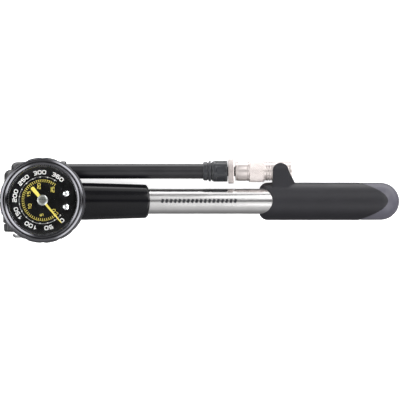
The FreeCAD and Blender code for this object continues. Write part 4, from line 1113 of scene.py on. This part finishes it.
def make_yellow_print():
    """The inner scale in the other unit: an arc with ticks inside it, and upright figures."""
    shape = Shape()
    end = ZERO_ANGLE - DOT_STEP * 14.4
    add_arc(shape, 12.35, ZERO_ANGLE, end, 0.12)
    ticks = 44
    for index in range(ticks):
        place = on_dial(ZERO_ANGLE - (ZERO_ANGLE - end) * index / (ticks - 1), 11.6)
        shape.stroke([(0.0, -0.7), (0.0, 0.7)], 0.3, 0.0, INK, place)
    dress(shape.piece("dial_yellow_scale"), "needle_yellow", "pump_body")
    figures = Shape()
    places = {
        "0": (6.8, -6.1),
        "5": (-0.5, -8.8),
        "10": (-7.6, -3.8),
        "15": (-8.3, 3.6),
        "20": (-2.2, 8.4),
        "25": (6.0, 6.4),
    }
    for text, (along, across) in places.items():
        add_number(figures, text, flat_at(along, across), 1.75, 1.25, 0.5, 0.3)
    dress(figures.piece("dial_bar_figures"), "needle_yellow", "pump_body")


def make_rivets():
    box = Box("dial_rivets")
    radius = 1.8
    low, high = box.span(Z)
    crown = [
        (low, 0.35),
        (low, 0.78),
        (DIAL_TOP, 0.78),
        (DIAL_TOP, radius, 0.05),
        (DIAL_TOP + 0.3, radius, 0.2),
        (high, 0.9, 0.5),
        (high - 0.1, 0.55, 0.1),
        (high - 0.3, 0.35),
    ]
    shape = Shape()
    for side in (1.0, -1.0):
        centre = Vector((box.middle.x, box.middle.y + side * (box.high.y - box.middle.y - radius), 0.0))
        shape.turn(Z, centre, rounded(crown), 64)
    dress(shape.piece("dial_rivet_heads"), "chrome", "pump_body", "dial_rivets")


def make_needle():
    """The pointer lies over the dial at rest, its broad tail on the other side of the hub."""
    box = Box("needle")
    length, tail, rest_angle = 18.2, 10.1, -50.0
    turn = cmath.rect(1.0, math.radians(rest_angle))
    side = [(-tail, 1.2, 1.0), (-3.0, 0.95), (0.0, 0.85), (3.0, 0.72), (length - 1.0, 0.28)]
    other = [(along, -across, *bend) for along, across, *bend in side]
    outline = other + [(length, 0.0, 0.1)] + side[::-1]

    def place(u, v, height):
        at = complex(u, v) * turn
        return (GAUGE.x + at.real, GAUGE.y + at.imag, height)

    shape = Shape().prism(rounded(outline), *box.span(Z), place)
    dress(shape.piece("needle_pointer"), "needle_yellow", "gauge_needle", "needle")


def make_needle_hub():
    low, high = Box("needle").high.z, Box("needle_hub").high.z
    radius = 3.2
    corners = [
        (low, 0.0),
        (low, radius),
        (low + 0.15, radius, 0.1),
        (high, radius - 0.45, 0.25),
        (high, 2.35, 0.1),
        (high - 0.18, 2.15, 0.1),
        (high - 0.18, 0.0),
    ]
    dress(turned("needle_button", Z, GAUGE, corners, 96), "hub_silver", "gauge_needle", "needle_hub")
    plug = [(high - 0.15, 0.0), (high - 0.15, 2.1), (high - 0.05, 2.1, 0.05), (high - 0.05, 0.0)]
    dress(turned("needle_button_plug", Z, GAUGE, plug, 96), "steel", "gauge_needle")


MAKERS = (
    dress_frame,
    make_barrel,
    make_barrel_print,
    make_sleeve,
    make_rod_guide,
    make_rod,
    make_grip,
    make_end_cap,
    make_head,
    make_bleed_cap,
    make_bleed_button,
    make_swivel,
    make_swivel_cap,
    make_hose,
    make_ferrule,
    make_crimp,
    make_collar,
    make_thumb_wheel,
    make_connector_body,
    make_coupler,
    make_nose,
    make_case,
    make_bumper,
    make_bezel,
    make_lens,
    make_dial,
    make_white_print,
    make_yellow_print,
    make_rivets,
    make_needle,
    make_needle_hub,
)

for make in MAKERS:
    make()


# ---- Studio ----


def make_camera():
    """Almost straight above the pump, from a little below it in the picture."""
    data = bpy.data.cameras.new("camera")
    data.sensor_width = 36.0
    data.lens = 132.35
    camera = bpy.data.objects.new("camera", data)
    camera.location = Vector((-0.75, -33.0, 911.0)) * MM
    camera.rotation_euler.x = math.atan2(33.8, 899.5)
    bpy.context.scene.collection.objects.link(camera)
    bpy.context.scene.camera = camera


def make_floor():
    """A plain pale floor, bright enough to read as white paper."""
    half = 12.0
    data = bpy.data.meshes.new("floor")
    corners = [(-half, -half, 0), (half, -half, 0), (half, half, 0), (-half, half, 0)]
    data.from_pydata(corners, [], [(0, 1, 2, 3)])
    floor = bpy.data.objects.new("floor", data)
    floor.location.z = CAD_BOX[0].z - 0.0001
    bpy.context.scene.collection.objects.link(floor)
    glow = {"Emission_Color": (1.0, 1.0, 1.0, 1.0), "Emission_Strength": 0.62}
    finish = Finish("floor", (0.9, 0.9, 0.9), 0.7, **glow)
    data.materials.append(finish.material)
    floor.visible_glossy = False


# Brightness of the studio round the pump's long axis: degrees from straight up, positive
# towards +Y, and the level there. Straight up it is dim, so that the lens stays clear.
STUDIO = (
    (-180.0, 0.1),
    (-130.0, 0.12),
    (-98.0, 0.2),
    (-84.0, 0.3),
    (-60.0, 0.38),
    (-34.0, 0.44),
    (-16.0, 0.5),
    (-10.0, 0.4),
    (-6.0, 0.16),
    (-1.0, 0.04),
    (4.5, 0.04),
    (9.0, 0.15),
    (13.0, 0.3),
    (20.0, 0.4),
    (36.0, 0.36),
    (42.0, 0.12),
    (66.0, 0.12),
    (74.0, 0.8),
    (88.0, 0.9),
    (94.0, 2.2),
    (124.0, 2.2),
    (132.0, 0.12),
    (180.0, 0.1),
)


# Soft lamps off the pump's ends: azimuth from +X, height above the floor, half width and
# softness of the edge, all in degrees, and brightness.
LAMPS = (
    (48.0, 40.0, 24.0, 6.0, 2.6),
    (-42.0, 44.0, 22.0, 6.0, 2.1),
    (176.0, 44.0, 24.0, 6.0, 2.1),
)


class Sky:
    """The studio's light as a function of direction."""

    def __init__(self):
        world = bpy.data.worlds.new("studio")
        bpy.context.scene.world = world
        world.use_nodes = True
        self.nodes, self.links = world.node_tree.nodes, world.node_tree.links
        self.direction = self.nodes.new("ShaderNodeTexCoord").outputs["Generated"]

    def math(self, operation, *values):
        item = self.nodes.new("ShaderNodeMath")
        item.operation = operation
        for socket, value in zip(item.inputs, values):
            feed(self.links, value, socket)
        return item.outputs[0]

    def strip(self):
        """Brightness round the pump's long axis."""
        parts = self.nodes.new("ShaderNodeSeparateXYZ")
        self.links.new(self.direction, parts.inputs[0])
        angle = self.math("ARCTAN2", parts.outputs["Y"], parts.outputs["Z"])
        share = self.math("MULTIPLY_ADD", angle, 1.0 / TURN, 0.5)
        ramp = self.nodes.new("ShaderNodeValToRGB")
        self.links.new(share, ramp.inputs["Fac"])
        elements = ramp.color_ramp.elements
        elements.remove(elements[1])
        for index, (degrees, level) in enumerate(STUDIO):
            element = elements[0] if index == 0 else elements.new(degrees / 360.0 + 0.5)
            element.position = degrees / 360.0 + 0.5
            element.color = (level, level, level, 1.0)
        return ramp.outputs["Color"]

    def lamp(self, azimuth, height, half_width, edge, level):
        """Brightness of one round lamp."""
        across, up = math.radians(azimuth), math.radians(height)
        toward = (math.cos(up) * math.cos(across), math.cos(up) * math.sin(across), math.sin(up))
        dot = self.nodes.new("ShaderNodeVectorMath")
        dot.operation = "DOT_PRODUCT"
        self.links.new(self.direction, dot.inputs[0])
        dot.inputs[1].default_value = toward
        fade = self.nodes.new("ShaderNodeMapRange")
        fade.interpolation_type = "SMOOTHSTEP"
        self.links.new(dot.outputs["Value"], fade.inputs["Value"])
        fade.inputs["From Min"].default_value = math.cos(math.radians(half_width + edge))
        fade.inputs["From Max"].default_value = math.cos(math.radians(half_width - edge))
        fade.inputs["To Max"].default_value = level
        return fade.outputs["Result"]

    def finish(self, level, strength):
        """White paper to the camera, and the studio to everything else."""
        backdrop = self.nodes["Background"]
        backdrop.inputs["Strength"].default_value = strength
        self.links.new(level, backdrop.inputs["Color"])
        paper = self.nodes.new("ShaderNodeBackground")
        paper.inputs["Color"].default_value = (1.0, 1.0, 1.0, 1.0)
        mix = self.nodes.new("ShaderNodeMixShader")
        rays = self.nodes.new("ShaderNodeLightPath")
        self.links.new(rays.outputs["Is Camera Ray"], mix.inputs["Fac"])
        self.links.new(backdrop.outputs[0], mix.inputs[1])
        self.links.new(paper.outputs[0], mix.inputs[2])
        self.links.new(mix.outputs[0], self.nodes["World Output"].inputs["Surface"])


def make_world():
    sky = Sky()
    level = sky.strip()
    for lamp in LAMPS:
        level = sky.math("ADD", level, sky.lamp(*lamp))
    sky.finish(level, 1.8)


make_camera()
make_floor()
make_world()
bpy.context.scene.view_settings.view_transform = "Standard"
